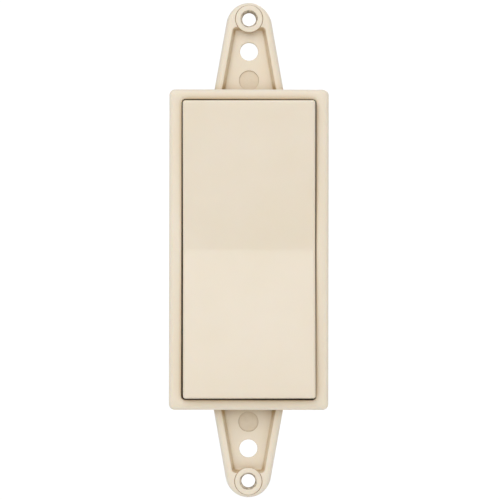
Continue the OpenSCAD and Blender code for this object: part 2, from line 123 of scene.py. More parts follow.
def bakeModifiers(obj):
    # the evaluated shape becomes the object's own mesh
    bpy.context.view_layer.update()
    graph = bpy.context.evaluated_depsgraph_get()
    baked = bpy.data.meshes.new_from_object(obj.evaluated_get(graph))
    obj.modifiers.clear()
    obj.data = baked
    return obj


def combine(obj, other, operation):
    mod = obj.modifiers.new("combine", "BOOLEAN")
    mod.operation = operation
    mod.solver = "EXACT"
    mod.object = other
    bakeModifiers(obj)
    bpy.data.objects.remove(other)
    return obj


def dress(obj, material):
    obj.data.materials.clear()
    obj.data.materials.append(material)


def bridge(loops, closed=False):
    # faces between rings that all have the same number of points
    n = len(loops[0])
    faces = []
    pairs = range(len(loops) if closed else len(loops) - 1)
    for i in pairs:
        a, b = i * n, ((i + 1) % len(loops)) * n
        for k in range(n):
            faces.append((a + k, a + (k + 1) % n, b + (k + 1) % n, b + k))
    return faces


def turned(points, segments, axisX=0.0, axisZ=0.0):
    # a turned shape about a line along Y, from (radius, y) points
    loops = []
    for r, y in points:
        loops.append([(axisX + r * math.cos(2 * math.pi * k / segments), y,
                       axisZ + r * math.sin(2 * math.pi * k / segments)) for k in range(segments)])
    return loops


def roundRing(w, h, r, y, corner=8, across=8, along=28, crowd=None):
    # points of a rounded rectangle about the Y axis, starting low on the right side
    r = max(r, 1e-7)
    fx = [(2 * k / across - 1) for k in range(1, across)]
    fz = crowd or [(2 * k / along - 1) for k in range(1, along)]
    hx, hz = w / 2 - r, h / 2 - r
    ring = []

    def arc(cx, cz, start):
        for k in range(corner + 1):
            a = math.radians(start + 90 * k / corner)
            ring.append((cx + r * math.cos(a), y, cz + r * math.sin(a)))

    ring += [(w / 2, y, f * hz) for f in fz]
    arc(hx, hz, 0)
    ring += [(-f * hx, y, h / 2) for f in fx]
    arc(-hx, hz, 90)
    ring += [(-w / 2, y, -f * hz) for f in fz]
    arc(-hx, -hz, 180)
    ring += [(f * hx, y, -h / 2) for f in fx]
    arc(hx, -hz, 270)
    return ring


def nodeMaterial(name):
    mat = bpy.data.materials.new(name)
    mat.use_nodes = True
    tree = mat.node_tree
    shader = tree.nodes["Principled BSDF"]
    coords = tree.nodes.new("ShaderNodeTexCoord")
    return mat, tree, shader, coords


def mathNode(tree, operation, a, b=None):
    node = tree.nodes.new("ShaderNodeMath")
    node.operation = operation
    for i, value in enumerate((a, b)):
        if value is None:
            continue
        if isinstance(value, (int, float)):
            node.inputs[i].default_value = value
        else:
            tree.links.new(value, node.inputs[i])
    return node.outputs[0]


def noiseAt(tree, coords, scale, detail=4.0, rough=0.55, stretch=None):
    noise = tree.nodes.new("ShaderNodeTexNoise")
    noise.inputs["Scale"].default_value = scale
    noise.inputs["Detail"].default_value = detail
    noise.inputs["Roughness"].default_value = rough
    if stretch:
        mapping = tree.nodes.new("ShaderNodeMapping")
        mapping.inputs["Scale"].default_value = stretch
        tree.links.new(coords.outputs["Object"], mapping.inputs["Vector"])
        tree.links.new(mapping.outputs["Vector"], noise.inputs["Vector"])
    else:
        tree.links.new(coords.outputs["Object"], noise.inputs["Vector"])
    return noise


def spread(tree, source, low, high, fromLow=0.3, fromHigh=0.7):
    rng = tree.nodes.new("ShaderNodeMapRange")
    rng.inputs["From Min"].default_value = fromLow
    rng.inputs["From Max"].default_value = fromHigh
    rng.inputs["To Min"].default_value = low
    rng.inputs["To Max"].default_value = high
    tree.links.new(source, rng.inputs["Value"])
    return rng.outputs["Result"]


def colourBetween(tree, factor, first, second):
    mix = tree.nodes.new("ShaderNodeMix")
    mix.data_type = "RGBA"
    mix.inputs["A"].default_value = (*first, 1)
    mix.inputs["B"].default_value = (*second, 1)
    tree.links.new(factor, mix.inputs["Factor"])
    return mix.outputs["Result"]


def bumpFrom(tree, shader, height, distance, strength=1.0, under=None):
    bump = tree.nodes.new("ShaderNodeBump")
    bump.inputs["Strength"].default_value = strength
    bump.inputs["Distance"].default_value = distance
    tree.links.new(height, bump.inputs["Height"])
    if under:
        tree.links.new(under.outputs["Normal"], bump.inputs["Normal"])
    tree.links.new(bump.outputs["Normal"], shader.inputs["Normal"])
    return bump


def tintOver(tree, factor, under, over):
    mix = tree.nodes.new("ShaderNodeMix")
    mix.data_type = "RGBA"
    mix.inputs["B"].default_value = (*over, 1)
    tree.links.new(under, mix.inputs["A"])
    tree.links.new(factor, mix.inputs["Factor"])
    return mix.outputs["Result"]


def layerOf(tree, name):
    layer = tree.nodes.new("ShaderNodeAttribute")
    layer.attribute_name = name
    return layer.outputs["Fac"]


def ivoryPlastic(name, look, paintedLight=None):
    # moulded ivory: faint clouding, a fine tool texture and slow waves left by cooling
    mat, tree, shader, coords = nodeMaterial(name)
    cloud = noiseAt(tree, coords, look["cloudScale"], 3.0)
    tint = colourBetween(tree, spread(tree, cloud.outputs["Fac"], 0, 1), look["light"], look["warm"])
    # painted shade: an ambient occlusion node darkens the colour to tan in corners and gaps, where shade falls
    corner = tree.nodes.new("ShaderNodeAmbientOcclusion")
    corner.samples = 8
    corner.inputs["Distance"].default_value = look["cornerReach"]
    paintedShade = spread(tree, corner.outputs["AO"], look["shadeTintShare"], 0, *look["cornerRange"])
    if paintedLight:
        # painted highlight: open fillets are tinted pale; painted shade: the mould marks, the pocket walls and the
        # threaded bore are tinted darker
        pale = mathNode(tree, "MULTIPLY", layerOf(tree, "pale"), corner.outputs["AO"])
        tint = tintOver(tree, mathNode(tree, "MULTIPLY", pale, paintedLight["highlightShare"]), tint, paintedLight["highlightTint"])
        markNoise = noiseAt(tree, coords, paintedLight["markNoiseScale"], 3.0)
        markShade = mathNode(tree, "MULTIPLY", layerOf(tree, "mark"),
                        spread(tree, markNoise.outputs["Fac"], paintedLight["markShadeShare"] * 0.5, paintedLight["markShadeShare"]))
        tint = tintOver(tree, markShade, tint, look["shadeTint"])
        # the painted shade in corners is weighted per face corner by a layer of the mesh
        paintedShade = mathNode(tree, "MULTIPLY", paintedShade, layerOf(tree, "shadeWeight"))
    tint = tintOver(tree, paintedShade, tint, look["shadeTint"])
    if paintedLight:
        # painted shade: the threaded bore is darkened to a near-black brown in ragged patches
        ragged = noiseAt(tree, coords, paintedLight["boreShadeScale"], 4.0)
        boreShade = mathNode(tree, "MULTIPLY", layerOf(tree, "boreShade"),
                         spread(tree, ragged.outputs["Fac"], 0, paintedLight["boreShadeShare"], 0.42, 0.56))
        tint = tintOver(tree, boreShade, tint, paintedLight["boreShadeTint"])
    tree.links.new(tint, shader.inputs["Base Color"])
    grain = noiseAt(tree, coords, look["grainScale"], 2.0)
    tree.links.new(spread(tree, grain.outputs["Fac"], look["gloss"] - 0.03, look["gloss"] + 0.05),
                   shader.inputs["Roughness"])
    wave = noiseAt(tree, coords, look["waveScale"], 1.0)
    slow = bumpFrom(tree, shader, wave.outputs["Fac"], look["waveDepth"])
    bumpFrom(tree, shader, grain.outputs["Fac"], look["grainDepth"], under=slow)
    shader.inputs["IOR"].default_value = 1.5
    shader.inputs["Sheen Weight"].default_value = look["sheen"]
    shader.inputs["Sheen Roughness"].default_value = 0.35
    shader.inputs["Subsurface Weight"].default_value = look["soft"]
    shader.inputs["Subsurface Radius"].default_value = (1.0, 0.6, 0.3)
    shader.inputs["Subsurface Scale"].default_value = 0.6 * mm
    return mat


def darkMoulding(name, look):
    mat, tree, shader, coords = nodeMaterial(name)
    flow = noiseAt(tree, coords, look["flowScale"], 5.0)
    tint = colourBetween(tree, spread(tree, flow.outputs["Fac"], 0, 1), look["deep"], look["pale"])
    tree.links.new(tint, shader.inputs["Base Color"])
    grain = noiseAt(tree, coords, look["grainScale"], 2.0)
    tree.links.new(spread(tree, flow.outputs["Fac"], look["gloss"] - 0.08, look["gloss"] + 0.1),
                   shader.inputs["Roughness"])
    bumpFrom(tree, shader, grain.outputs["Fac"], look["grainDepth"])
    return mat


def workedMetal(name, look):
    # stretched noise gives the rolling or turning lines, a coarse one the handling marks
    mat, tree, shader, coords = nodeMaterial(name)
    shader.inputs["Metallic"].default_value = 1.0
    patch = noiseAt(tree, coords, look["patchScale"], 4.0)
    tint = colourBetween(tree, spread(tree, patch.outputs["Fac"], 0, 1), look["bright"], look["dull"])
    tree.links.new(tint, shader.inputs["Base Color"])
    lines = noiseAt(tree, coords, look["lineScale"], 3.0, stretch=look["stretch"])
    tree.links.new(spread(tree, lines.outputs["Fac"], look["gloss"] - 0.07, look["gloss"] + 0.12),
                   shader.inputs["Roughness"])
    bumpFrom(tree, shader, lines.outputs["Fac"], look["lineDepth"])
    return mat


# painted shade: corners and gaps are mixed towards the dark tan given below, by the share given with it
ivoryLook = {"light": (0.875, 0.765, 0.59), "warm": (0.855, 0.74, 0.555), "cloudScale": 60,
             "grainScale": 5200, "gloss": 0.36, "grainDepth": 0.0035 * mm, "waveScale": 140,
             "waveDepth": 0.012 * mm, "soft": 0.15, "cornerReach": 1.4 * mm,
             "cornerRange": (0.2, 0.85), "shadeTint": (0.52, 0.35, 0.15), "shadeTintShare": 0.45,
             "sheen": 0.0}
# the frame takes its painted shade at full share and in a darker tan
frameLook = {**ivoryLook, "cornerReach": 2.2 * mm, "cornerRange": (0.2, 0.92),
             "shadeTintShare": 1.0, "sheen": 0.1, "shadeTint": (0.45, 0.29, 0.11)}
# painted highlight on the open fillets, painted shade in the mould marks, on the pocket walls and in the threaded
# bore
framePaintedLight = {"highlightShare": 0.35, "highlightTint": (0.97, 0.93, 0.83), "markShadeShare": 0.24, "markNoiseScale": 900,
              "boreShadeShare": 0.6, "boreShadeScale": 1500, "boreShadeTint": (0.16, 0.11, 0.06)}
# the rocker takes its painted shade only in deeply shut places, at nearly full share
rockerLook = {**ivoryLook, "light": (0.872, 0.76, 0.59), "warm": (0.85, 0.735, 0.55), "gloss": 0.2,
              "shadeTintShare": 0.95, "cornerRange": (0.05, 0.62),
              "grainDepth": 0.0015 * mm, "waveScale": 70, "waveDepth": 0.02 * mm}
darkLook = {"deep": (0.012, 0.012, 0.013), "pale": (0.026, 0.026, 0.028), "flowScale": 130,
            "grainScale": 2600, "gloss": 0.5, "grainDepth": 0.012 * mm}
nylonLook = {**ivoryLook, "light": (0.80, 0.79, 0.73), "warm": (0.74, 0.72, 0.64), "gloss": 0.42}
steelLook = {"bright": (0.66, 0.66, 0.67), "dull": (0.50, 0.50, 0.52), "patchScale": 350,
             "lineScale": 900, "stretch": (1, 12, 1), "gloss": 0.30, "lineDepth": 0.004 * mm}
springLook = {**steelLook, "bright": (0.42, 0.42, 0.44), "dull": (0.30, 0.30, 0.32), "gloss": 0.33}
brassLook = {"bright": (0.80, 0.60, 0.28), "dull": (0.62, 0.44, 0.19), "patchScale": 260,
             "lineScale": 700, "stretch": (14, 1, 1), "gloss": 0.28, "lineDepth": 0.004 * mm}
bronzeLook = {**brassLook, "bright": (0.74, 0.46, 0.26), "dull": (0.58, 0.33, 0.17)}
silverLook = {**steelLook, "bright": (0.84, 0.83, 0.80), "dull": (0.70, 0.69, 0.66),
              "stretch": (1, 1, 1), "gloss": 0.24}

ivoryMoulding = ivoryPlastic("ivoryMoulding", frameLook, framePaintedLight)
ivoryRocker = ivoryPlastic("ivoryRocker", rockerLook)
blackMoulding = darkMoulding("blackMoulding", darkLook)
naturalNylon = ivoryPlastic("naturalNylon", nylonLook)
zincPlate = workedMetal("zincPlate", steelLook)
groundSteel = workedMetal("groundSteel", {**steelLook, "gloss": 0.2, "stretch": (20, 1, 1)})
springSteel = workedMetal("springSteel", springLook)
terminalBrass = workedMetal("terminalBrass", brassLook)
bridgeBronze = workedMetal("bridgeBronze", bronzeLook)
contactSilver = workedMetal("contactSilver", silverLook)
print("materials ready")


bezel = {
    "cornerR": 1.25 * mm, "openingCornerR": 0.8 * mm, "edgeW": 1.0 * mm, "edgeDepth": 0.75 * mm,
    "innerEdgeW": 0.8 * mm, "innerEdgeDepth": 0.3 * mm, "crownInset": 1.2 * mm,
    "sideBar": 2.65 * mm, "endBar": 2.15 * mm, "draft": 0.08 * mm, "ledgeY": -2.3 * mm,
    "windowW": rockerHigh.x - rockerLow.x - 2.6 * mm, "windowH": 43.0 * mm,
    "seatW": 31.3 * mm, "seatH": 64.8 * mm, "seatY": -0.5 * mm, "seatR": 1 * mm, "windowR": 0.4 * mm,
    "footY": -0.15 * mm, "edgeSteps": 7, "innerSteps": 8,
}


def bezelShell():
    w, frontY = mouldHigh.x - mouldLow.x, mouldLow.y
    h = frameH
    steps = bezel["edgeSteps"]
    rings = [roundRing(w, h, bezel["cornerR"], 0), roundRing(w, h, bezel["cornerR"], bezel["footY"])]
    for k in range(steps + 1):
        a = math.pi / 2 * k / steps
        inset = bezel["draft"] + bezel["edgeW"] * (1 - math.cos(a))
        y = frontY + bezel["edgeDepth"] * (1 - math.sin(a))
        rings.append(roundRing(w - 2 * inset, h - 2 * inset, bezel["cornerR"] - inset * 0.6, y))
    openW, openH = w - 2 * bezel["sideBar"], h - 2 * bezel["endBar"]
    crown = 2 * bezel["crownInset"]
    rings.append(roundRing(w - crown, h - crown, bezel["openingCornerR"], frontY))
    for k in range(bezel["innerSteps"] + 1):
        a = math.pi / 2 * k / bezel["innerSteps"]
        grow = bezel["innerEdgeW"] * (1 - math.sin(a))
        y = frontY + bezel["innerEdgeDepth"] * (1 - math.cos(a))
        rings.append(roundRing(openW + 2 * grow, openH + 2 * grow, bezel["openingCornerR"] + grow * 0.4, y))
    rings.append(roundRing(openW, openH, bezel["openingCornerR"], bezel["ledgeY"]))
    window = (bezel["windowW"], bezel["windowH"], bezel["windowR"])
    seat = (bezel["seatW"], bezel["seatH"], bezel["seatR"])
    rings += [roundRing(*window, bezel["ledgeY"]), roundRing(*window, bezel["seatY"]),
              roundRing(*seat, bezel["seatY"]), roundRing(*seat, 0)]
    mesh = meshFrom("bezel", [p for ring in rings for p in ring], bridge(rings, closed=True))
    tidyMesh(mesh)
    return newObject("frameMoulding", mesh)


ear = {
    "tipR": 4.8 * mm, "spread": math.radians(10.1), "rootIn": 0.6 * mm, "rim": 1.65 * mm,
    "edge": 1.05 * mm, "edgeDepth": 1.0 * mm, "draft": 0.1 * mm, "lipR": 0.2 * mm,
    "floorY": -1.4 * mm, "wallDraft": 0.42 * mm, "floorR": 0.5 * mm, "pocketR": 0.8 * mm,
    "backY": -0.01 * mm, "bossR": 2.8 * mm, "holeOut": 15.02 * mm, "chamfer": 0.12 * mm,
    "footY": -0.2 * mm, "endGap": 0.5 * mm, "plateCutR": 2.2 * mm,
    "moatW": 0.14 * mm, "moatDepth": 0.14 * mm, "bossEdge": 0.1 * mm, "rimSink": 0.12 * mm,
    "boxHoleR": 1.9 * mm,
    "markR": 2.1 * mm, "markDepth": 0.26 * mm, "markOut": 2.2 * mm, "markOutLow": 2.65 * mm,
    "arcSteps": 40, "sideSteps": 24,
}
# the four bosses behind the frame that take the body screws
boss = {"headR": 1.9 * mm, "outR": 2.1 * mm, "boreR": 0.97 * mm, "mouth": 0.08 * mm, "edge": 0.1 * mm,
        "topY": -4.2 * mm, "sink": 0.1 * mm}
frameH = 2 * (plateHoleZ - ear["holeOut"])
tipZ = mouldHigh.z - ear["tipR"]


def earRing(inset, y):
    # outline of an ear, moved in by inset; the root edge stays inside the frame's end bar
    r = ear["tipR"] - inset
    s = ear["spread"]
    rootZ = frameH / 2 - ear["rootIn"]
    footZ = tipZ + r * math.sin(s)
    footX = r * math.cos(s)
    rootX = r / math.cos(s) + (tipZ - rootZ) * math.tan(s)
    ring = []
    n = ear["sideSteps"]
    for k in range(n):
        t = k / n
        ring.append((rootX + (footX - rootX) * t, y, rootZ + (footZ - rootZ) * t))
    m = ear["arcSteps"]
    for k in range(m + 1):
        a = s + (math.pi - 2 * s) * k / m
        ring.append((r * math.cos(a), y, tipZ + r * math.sin(a)))
    for k in range(1, n + 1):
        t = 1 - k / n
        ring.append((-(rootX + (footX - rootX) * t), y, rootZ + (footZ - rootZ) * t))
    for k in range(1, 8):
        ring.append((-rootX + 2 * rootX * k / 8, y, rootZ))
    return ring


def pocketRing(inset, y, corner=10):
    # outline of the pocket, with round far corners
    s = ear["spread"]
    r = ear["tipR"] - ear["rim"] - inset
    rootZ = frameH / 2 - ear["rootIn"] * 0.8
    endZ = tipZ - ear["endGap"] - inset
    q = max(ear["pocketR"] - inset * 0.5, 0.15 * mm)
    cz = endZ - q
    cx = r / math.cos(s) + (tipZ - cz) * math.tan(s) - q / math.cos(s)
    rootX = r / math.cos(s) + (tipZ - rootZ) * math.tan(s)
    edgeX, edgeZ = cx + q * math.cos(s), cz + q * math.sin(s)
    ring = []
    for k in range(24):
        t = k / 24
        ring.append((rootX + (edgeX - rootX) * t, y, rootZ + (edgeZ - rootZ) * t))
    for k in range(corner + 1):
        a = s + (math.pi / 2 - s) * k / corner
        ring.append((cx + q * math.cos(a), y, cz + q * math.sin(a)))
    for k in range(1, 8):
        ring.append((cx - 2 * cx * k / 8, y, endZ))
    for k in range(corner + 1):
        a = math.pi / 2 + (math.pi / 2 - s) * k / corner
        ring.append((-cx + q * math.cos(a), y, cz + q * math.sin(a)))
    for k in range(1, 25):
        t = 1 - k / 24
        ring.append((-(rootX + (edgeX - rootX) * t), y, rootZ + (edgeZ - rootZ) * t))
    for k in range(1, 8):
        ring.append((-rootX + 2 * rootX * k / 8, y, rootZ))
    return ring


def flatFill(outer, inner=None):
    # triangles of a flat area between two rings at one depth
    points = list(outer) + list(inner or [])
    n = len(outer)
    edges = [(k, (k + 1) % n) for k in range(n)]
    if inner:
        m = len(inner)
        edges += [(n + k, n + (k + 1) % m) for k in range(m)]
    flat = [Vector((p[0] / mm, p[2] / mm)) for p in points]
    filled = delaunay_2d_cdt(flat, edges, [], 1, 1e-7)
    verts, faces = filled[0], filled[2]
    if inner:
        hole = [flat[n + k] for k in range(len(inner))]
        middles = [sum((verts[i] for i in f), Vector((0, 0))) / len(f) for f in faces]
        faces = [f for f, middle in zip(faces, middles) if not insideRing(middle, hole)]
    y = points[0][1]
    return [(v.x * mm, y, v.y * mm) for v in verts], faces


def insideRing(p, ring):
    inside = False
    n = len(ring)
    for k in range(n):
        a, b = ring[k], ring[(k + 1) % n]
        if (a.y > p.y) != (b.y > p.y) and p.x < (b.x - a.x) * (p.y - a.y) / (b.y - a.y) + a.x:
            inside = not inside
    return inside


def earSolid():
    topY = rimY + ear["rimSink"]
    outer = [earRing(0, ear["backY"]), earRing(0, ear["footY"])]
    for k in range(9):
        a = math.pi / 2 * k / 8
        outer.append(earRing(ear["draft"] + ear["edge"] * (1 - math.cos(a)),
                             topY + ear["edgeDepth"] * (1 - math.sin(a))))
    verts = [p for ring in outer for p in ring]
    faces = bridge(outer)
    inner = []
    lip = ear["lipR"]
    for k in range(5):
        a = math.pi / 2 * k / 4
        inner.append(pocketRing(-lip * (1 - math.sin(a)), topY + lip * (1 - math.cos(a))))
    floorY, q = ear["floorY"], ear["floorR"]
    for k in range(6):
        a = math.pi / 2 * k / 5
        inner.append(pocketRing(ear["wallDraft"] + q * (1 - math.cos(a)), floorY - q * (1 - math.sin(a))))
    base = len(verts)
    verts += [p for ring in inner for p in ring]
    faces += [tuple(base + i for i in f) for f in bridge(inner)]
    for rings in ((outer[-1], inner[0]), (inner[-1],), (outer[0],)):
        fillVerts, fillFaces = flatFill(*rings)
        base = len(verts)
        verts += fillVerts
        faces += [tuple(base + i for i in f) for f in fillFaces]
    mesh = meshFrom("ear", verts, faces)
    tidyMesh(mesh, 2e-7)
    return newObject("ear", mesh)


thread = {"pitch": 0.794 * mm, "minorR": 1.45 * mm, "depth": 0.3 * mm, "mouthR": 1.74 * mm,
          "mouthDepth": 0.7 * mm, "around": 72, "step": 0.066 * mm, "flank": 0.36, "flat": 1.3,
          "rimW": 0.08 * mm, "runOut": 0.3 * mm}


def tappedBoss():
    # the boss around the plate screw hole, with the screw thread cut into its bore
    around = thread["around"]
    topY, backY = rimY, 0
    rings = turned([(ear["bossR"], backY), (ear["bossR"], topY + ear["bossEdge"])], around)
    for k in range(1, 5):
        a = math.pi / 2 * k / 4
        r = ear["bossR"] - ear["bossEdge"] * (1 - math.cos(a))
        rings += turned([(r, topY + ear["bossEdge"] * (1 - math.sin(a)))], around)
    rings += turned([(thread["mouthR"] + thread["rimW"], topY)], around)
    count = int((backY - topY) / thread["step"]) - 1
    for i in range(count + 1):
        y = topY + (i + 0.5) * thread["step"]
        mouth = thread["mouthR"] - (thread["mouthR"] - thread["minorR"]) * (y - topY) / thread["mouthDepth"]
        ring = []
        for k in range(around):
            turn = k / around
            phase = ((y / thread["pitch"]) + turn) % 1.0
            groove = max(0.0, 1 - abs(phase - 0.5) / thread["flank"])
            a = 2 * math.pi * turn
            r = max(mouth, thread["minorR"]) + thread["depth"] * min(1, groove * thread["flat"])
            ring.append((r * math.cos(a), y, r * math.sin(a)))
        rings.append(ring)
    rings += turned([(thread["minorR"] + thread["runOut"], backY)], around)
    mesh = meshFrom("boss", [p for ring in rings for p in ring], bridge(rings, closed=True))
    tidyMesh(mesh, 1e-7)
    return newObject("boss", mesh)


def turnedSolid(name, points, segments=64, at=(0, 0), hollow=False):
    # closed turned solid: the first and last rings are capped, or joined when it's hollow
    rings = turned(points, segments, *at)
    verts = [p for ring in rings for p in ring]
    faces = bridge(rings, closed=hollow)
    last = (len(rings) - 1) * segments
    if not hollow:
        faces.append(tuple(range(segments)))
        faces.append(tuple(last + k for k in range(segments)))
    mesh = meshFrom(name, verts, faces)
    tidyMesh(mesh, 1e-7)
    return newObject(name, mesh)


def shifted(obj, x=0, z=0, flip=False):
    if flip:
        obj.data.transform(Matrix.Diagonal((1, 1, -1, 1)))
        obj.data.flip_normals()
    obj.data.transform(Matrix.Translation((x, 0, z)))
    return obj


def joined(name, objects):
    bm = bmesh.new()
    for obj in objects:
        bm.from_mesh(obj.data)
        bpy.data.objects.remove(obj)
    mesh = bpy.data.meshes.new(name)
    bm.to_mesh(mesh)
    bm.free()
    return newObject(name, mesh)


# how much painted shade and painted highlight each kind of surface takes; "near" widens a zone past its nominal
# edge
paintedLightWeights = {"earFloor": 0.5, "earSlope": 1.5, "gap": 1.2, "face": 0.4, "highlightSlope": 1.6, "pocketWallShade": 2.3,
         "near": 0.05 * mm, "gapSide": 0.25 * mm, "gapEnd": 0.35 * mm, "gapDepth": 0.6 * mm}


def layPaintedLight(obj):
    # painted shade in corners, gaps and on steep ear faces, painted highlight on open fillets, painted shade in
    # the mould marks, on the pocket walls and in the threaded bore
    mesh = obj.data
    normals = [one.vector.copy() for one in mesh.corner_normals]
    names = ("shadeWeight", "pale", "mark", "boreShade")
    values = {name: [0.0] * len(mesh.loops) for name in names}
    markZ = {1: frameH / 2 + ear["markOut"], -1: frameH / 2 + ear["markOutLow"]}
    for face in mesh.polygons:
        at = face.center
        onEar = abs(at.z) > frameH / 2 - bezel["edgeW"] / 2
        side = 1 if at.z > 0 else -1
        inMark = (math.hypot(at.x, abs(at.z) - markZ[side]) < ear["markR"]
                  and 0.1 * mm < at.y - ear["floorY"] < 1.5 * ear["markDepth"])
        inPocket = onEar and rimY + 0.1 * mm < at.y < ear["floorY"] + paintedLightWeights["near"]
        aroundBoss = math.hypot(at.x, abs(at.z) - plateHoleZ) < ear["bossR"] + 0.2 * mm
        inGap = (abs(at.x) < rockerHigh.x + paintedLightWeights["gapSide"] and abs(at.z) < rockerHigh.z + paintedLightWeights["gapEnd"]
                 and at.y > rimY + paintedLightWeights["gapDepth"])
        inBore = math.hypot(at.x, abs(at.z) - plateHoleZ) < thread["mouthR"] + paintedLightWeights["near"]
        for k in face.loop_indices:
            slope = 1 - abs(normals[k].y)
            inward = inPocket and (aroundBoss or normals[k].x * at.x < 0)
            # painted shade weight: on the ears it grows with steepness, in the rocker gap it is strong, elsewhere
            # light
            if onEar:
                values["shadeWeight"][k] = paintedLightWeights["earFloor"] + paintedLightWeights["earSlope"] * slope
            else:
                values["shadeWeight"][k] = paintedLightWeights["gap"] if inGap else paintedLightWeights["face"]
            # painted highlight on steep open faces, none on the pocket walls that face inward
            values["pale"][k] = 0.0 if inward else min(1, paintedLightWeights["highlightSlope"] * slope)
            # painted shade in the mould mark recesses and on the inward pocket walls
            values["mark"][k] = 1.0 if inMark else (paintedLightWeights["pocketWallShade"] * slope if inward else 0.0)
            # painted shade in the threaded bore
            values["boreShade"][k] = 1.0 if inBore else 0.0
    for name in names:
        layer = mesh.attributes.new(name, "FLOAT", "CORNER")
        layer.data.foreach_set("value", values[name])


def frameMoulding():
    obj = bezelShell()
    floorY = ear["floorY"]
    for up in (True, False):
        one = earSolid()
        r = ear["boxHoleR"]
        chamfer = ear["chamfer"]
        cutters = [
            turnedSolid("boxHole", [(r + chamfer + 0.3 * mm, floorY - 0.3 * mm), (r, floorY + chamfer),
                                    (r, -chamfer), (r + chamfer + 0.1 * mm, 0.1 * mm)], at=(0, boxHoleZ)),
            turnedSolid("plateHole", [(ear["plateCutR"], rimY - mm), (ear["plateCutR"], mm)],
                        at=(0, plateHoleZ)),
            turnedSolid("mark", [(ear["markR"] + 0.05 * mm, floorY - mm),
                                 (ear["markR"], floorY - 0.005 * mm),
                                 (ear["markR"] - 0.04 * mm, floorY + ear["markDepth"])],
                        at=(0, frameH / 2 + ear["markOut" if up else "markOutLow"])),
        ]
        combine(one, joined("cutters", cutters), "DIFFERENCE")
        r, topY = ear["bossR"], rimY + ear["rimSink"]
        combine(one, turnedSolid("moat", [(r - 0.1 * mm, topY - mm), (r + ear["moatW"], topY - mm),
                                          (r + ear["moatW"], topY),
                                          (r + 0.04 * mm, topY + ear["moatDepth"]),
                                          (r - 0.1 * mm, topY + ear["moatDepth"])],
                                 at=(0, plateHoleZ), hollow=True), "DIFFERENCE")
        combine(one, shifted(tappedBoss(), z=plateHoleZ), "UNION")
        combine(obj, shifted(one, flip=not up), "UNION")
    footY, topY = bezel["ledgeY"] + boss["sink"], boss["topY"]
    profile = [(boss["outR"], footY), (boss["outR"], topY + boss["edge"]),
               (boss["outR"] - boss["edge"], topY), (boss["boreR"] + boss["mouth"], topY),
               (boss["boreR"], topY + boss["mouth"]), (boss["boreR"], footY)]
    bosses = []
    screws = [(x, z) for x in (-1, 1) for z in (-1, 1)]
    screwHigh = span("body_screws")[1]
    bossX, bossZ = screwHigh.x - boss["headR"], screwHigh.z - boss["headR"]
    for sx, sz in screws:
        bosses.append(turnedSolid("screwBoss", profile, 32, (sx * bossX, sz * bossZ), hollow=True))
    whole = joined("frameMoulding", [obj] + bosses)
    closeSlivers(whole.data)
    smoothShade(whole, 32)
    weighNormals(whole)
    layPaintedLight(whole)
    dress(whole, ivoryMoulding)
    return whole


moulding = frameMoulding()
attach(moulding, "root")
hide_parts("mounting_frame")
print("frame moulding", len(moulding.data.polygons), "faces")


rocker = {
    "cornerR": 0.6 * mm, "edgeR": 0.55 * mm, "wall": 1.3 * mm, "faceT": 1.5 * mm,
    "softness": 0.5 * mm, "endRoll": 0.05 * mm, "endRollLength": 3.0 * mm,
    "lean": math.radians(-0.16), "lift": 0.04 * mm, "shift": 0.06 * mm, "draft": 0.06 * mm,
}
# what is moulded under the face, seen only from behind
under = {"lugR": 1.9 * mm, "lugBore": 1.05 * mm, "lugTop": 2.6 * mm, "lugInset": 2.5 * mm, "lugT": 2.2 * mm,
         "ribT": 1.3 * mm, "ribClear": 0.3 * mm, "ribEdge": 0.12 * mm, "pusherHalf": 2.5 * mm,
         "pusherR": 0.98 * mm, "pusherClear": 0.03 * mm, "sink": 0.4 * mm}
# rows crowd towards the crease, so it bends over many small faces
creaseRows = [0.004, 0.009, 0.014, 0.02, 0.028, 0.038, 0.052, 0.075, 0.11, 0.16, 0.24, 0.34, 0.46,
              0.58, 0.70, 0.80, 0.88, 0.93, 0.965, 0.985]
rockerRows = [-f for f in reversed(creaseRows)] + [0.0] + creaseRows


def faceGrid(w, h, inset, y, across=8):
    # the flat field inside the rounded edge, on the same rows and columns as the rings
    hx, hz = w / 2 - inset, h / 2 - inset
    xs = [-hx] + [(2 * k / across - 1) * hx for k in range(1, across)] + [hx]
    zs = [-hz] + [f * hz for f in rockerRows] + [hz]
    verts = [(x, y, z) for z in zs for x in xs]
    n = len(xs)
    faces = [(r * n + c, r * n + c + 1, (r + 1) * n + c + 1, (r + 1) * n + c)
             for r in range(len(zs) - 1) for c in range(n - 1)]
    return verts, faces


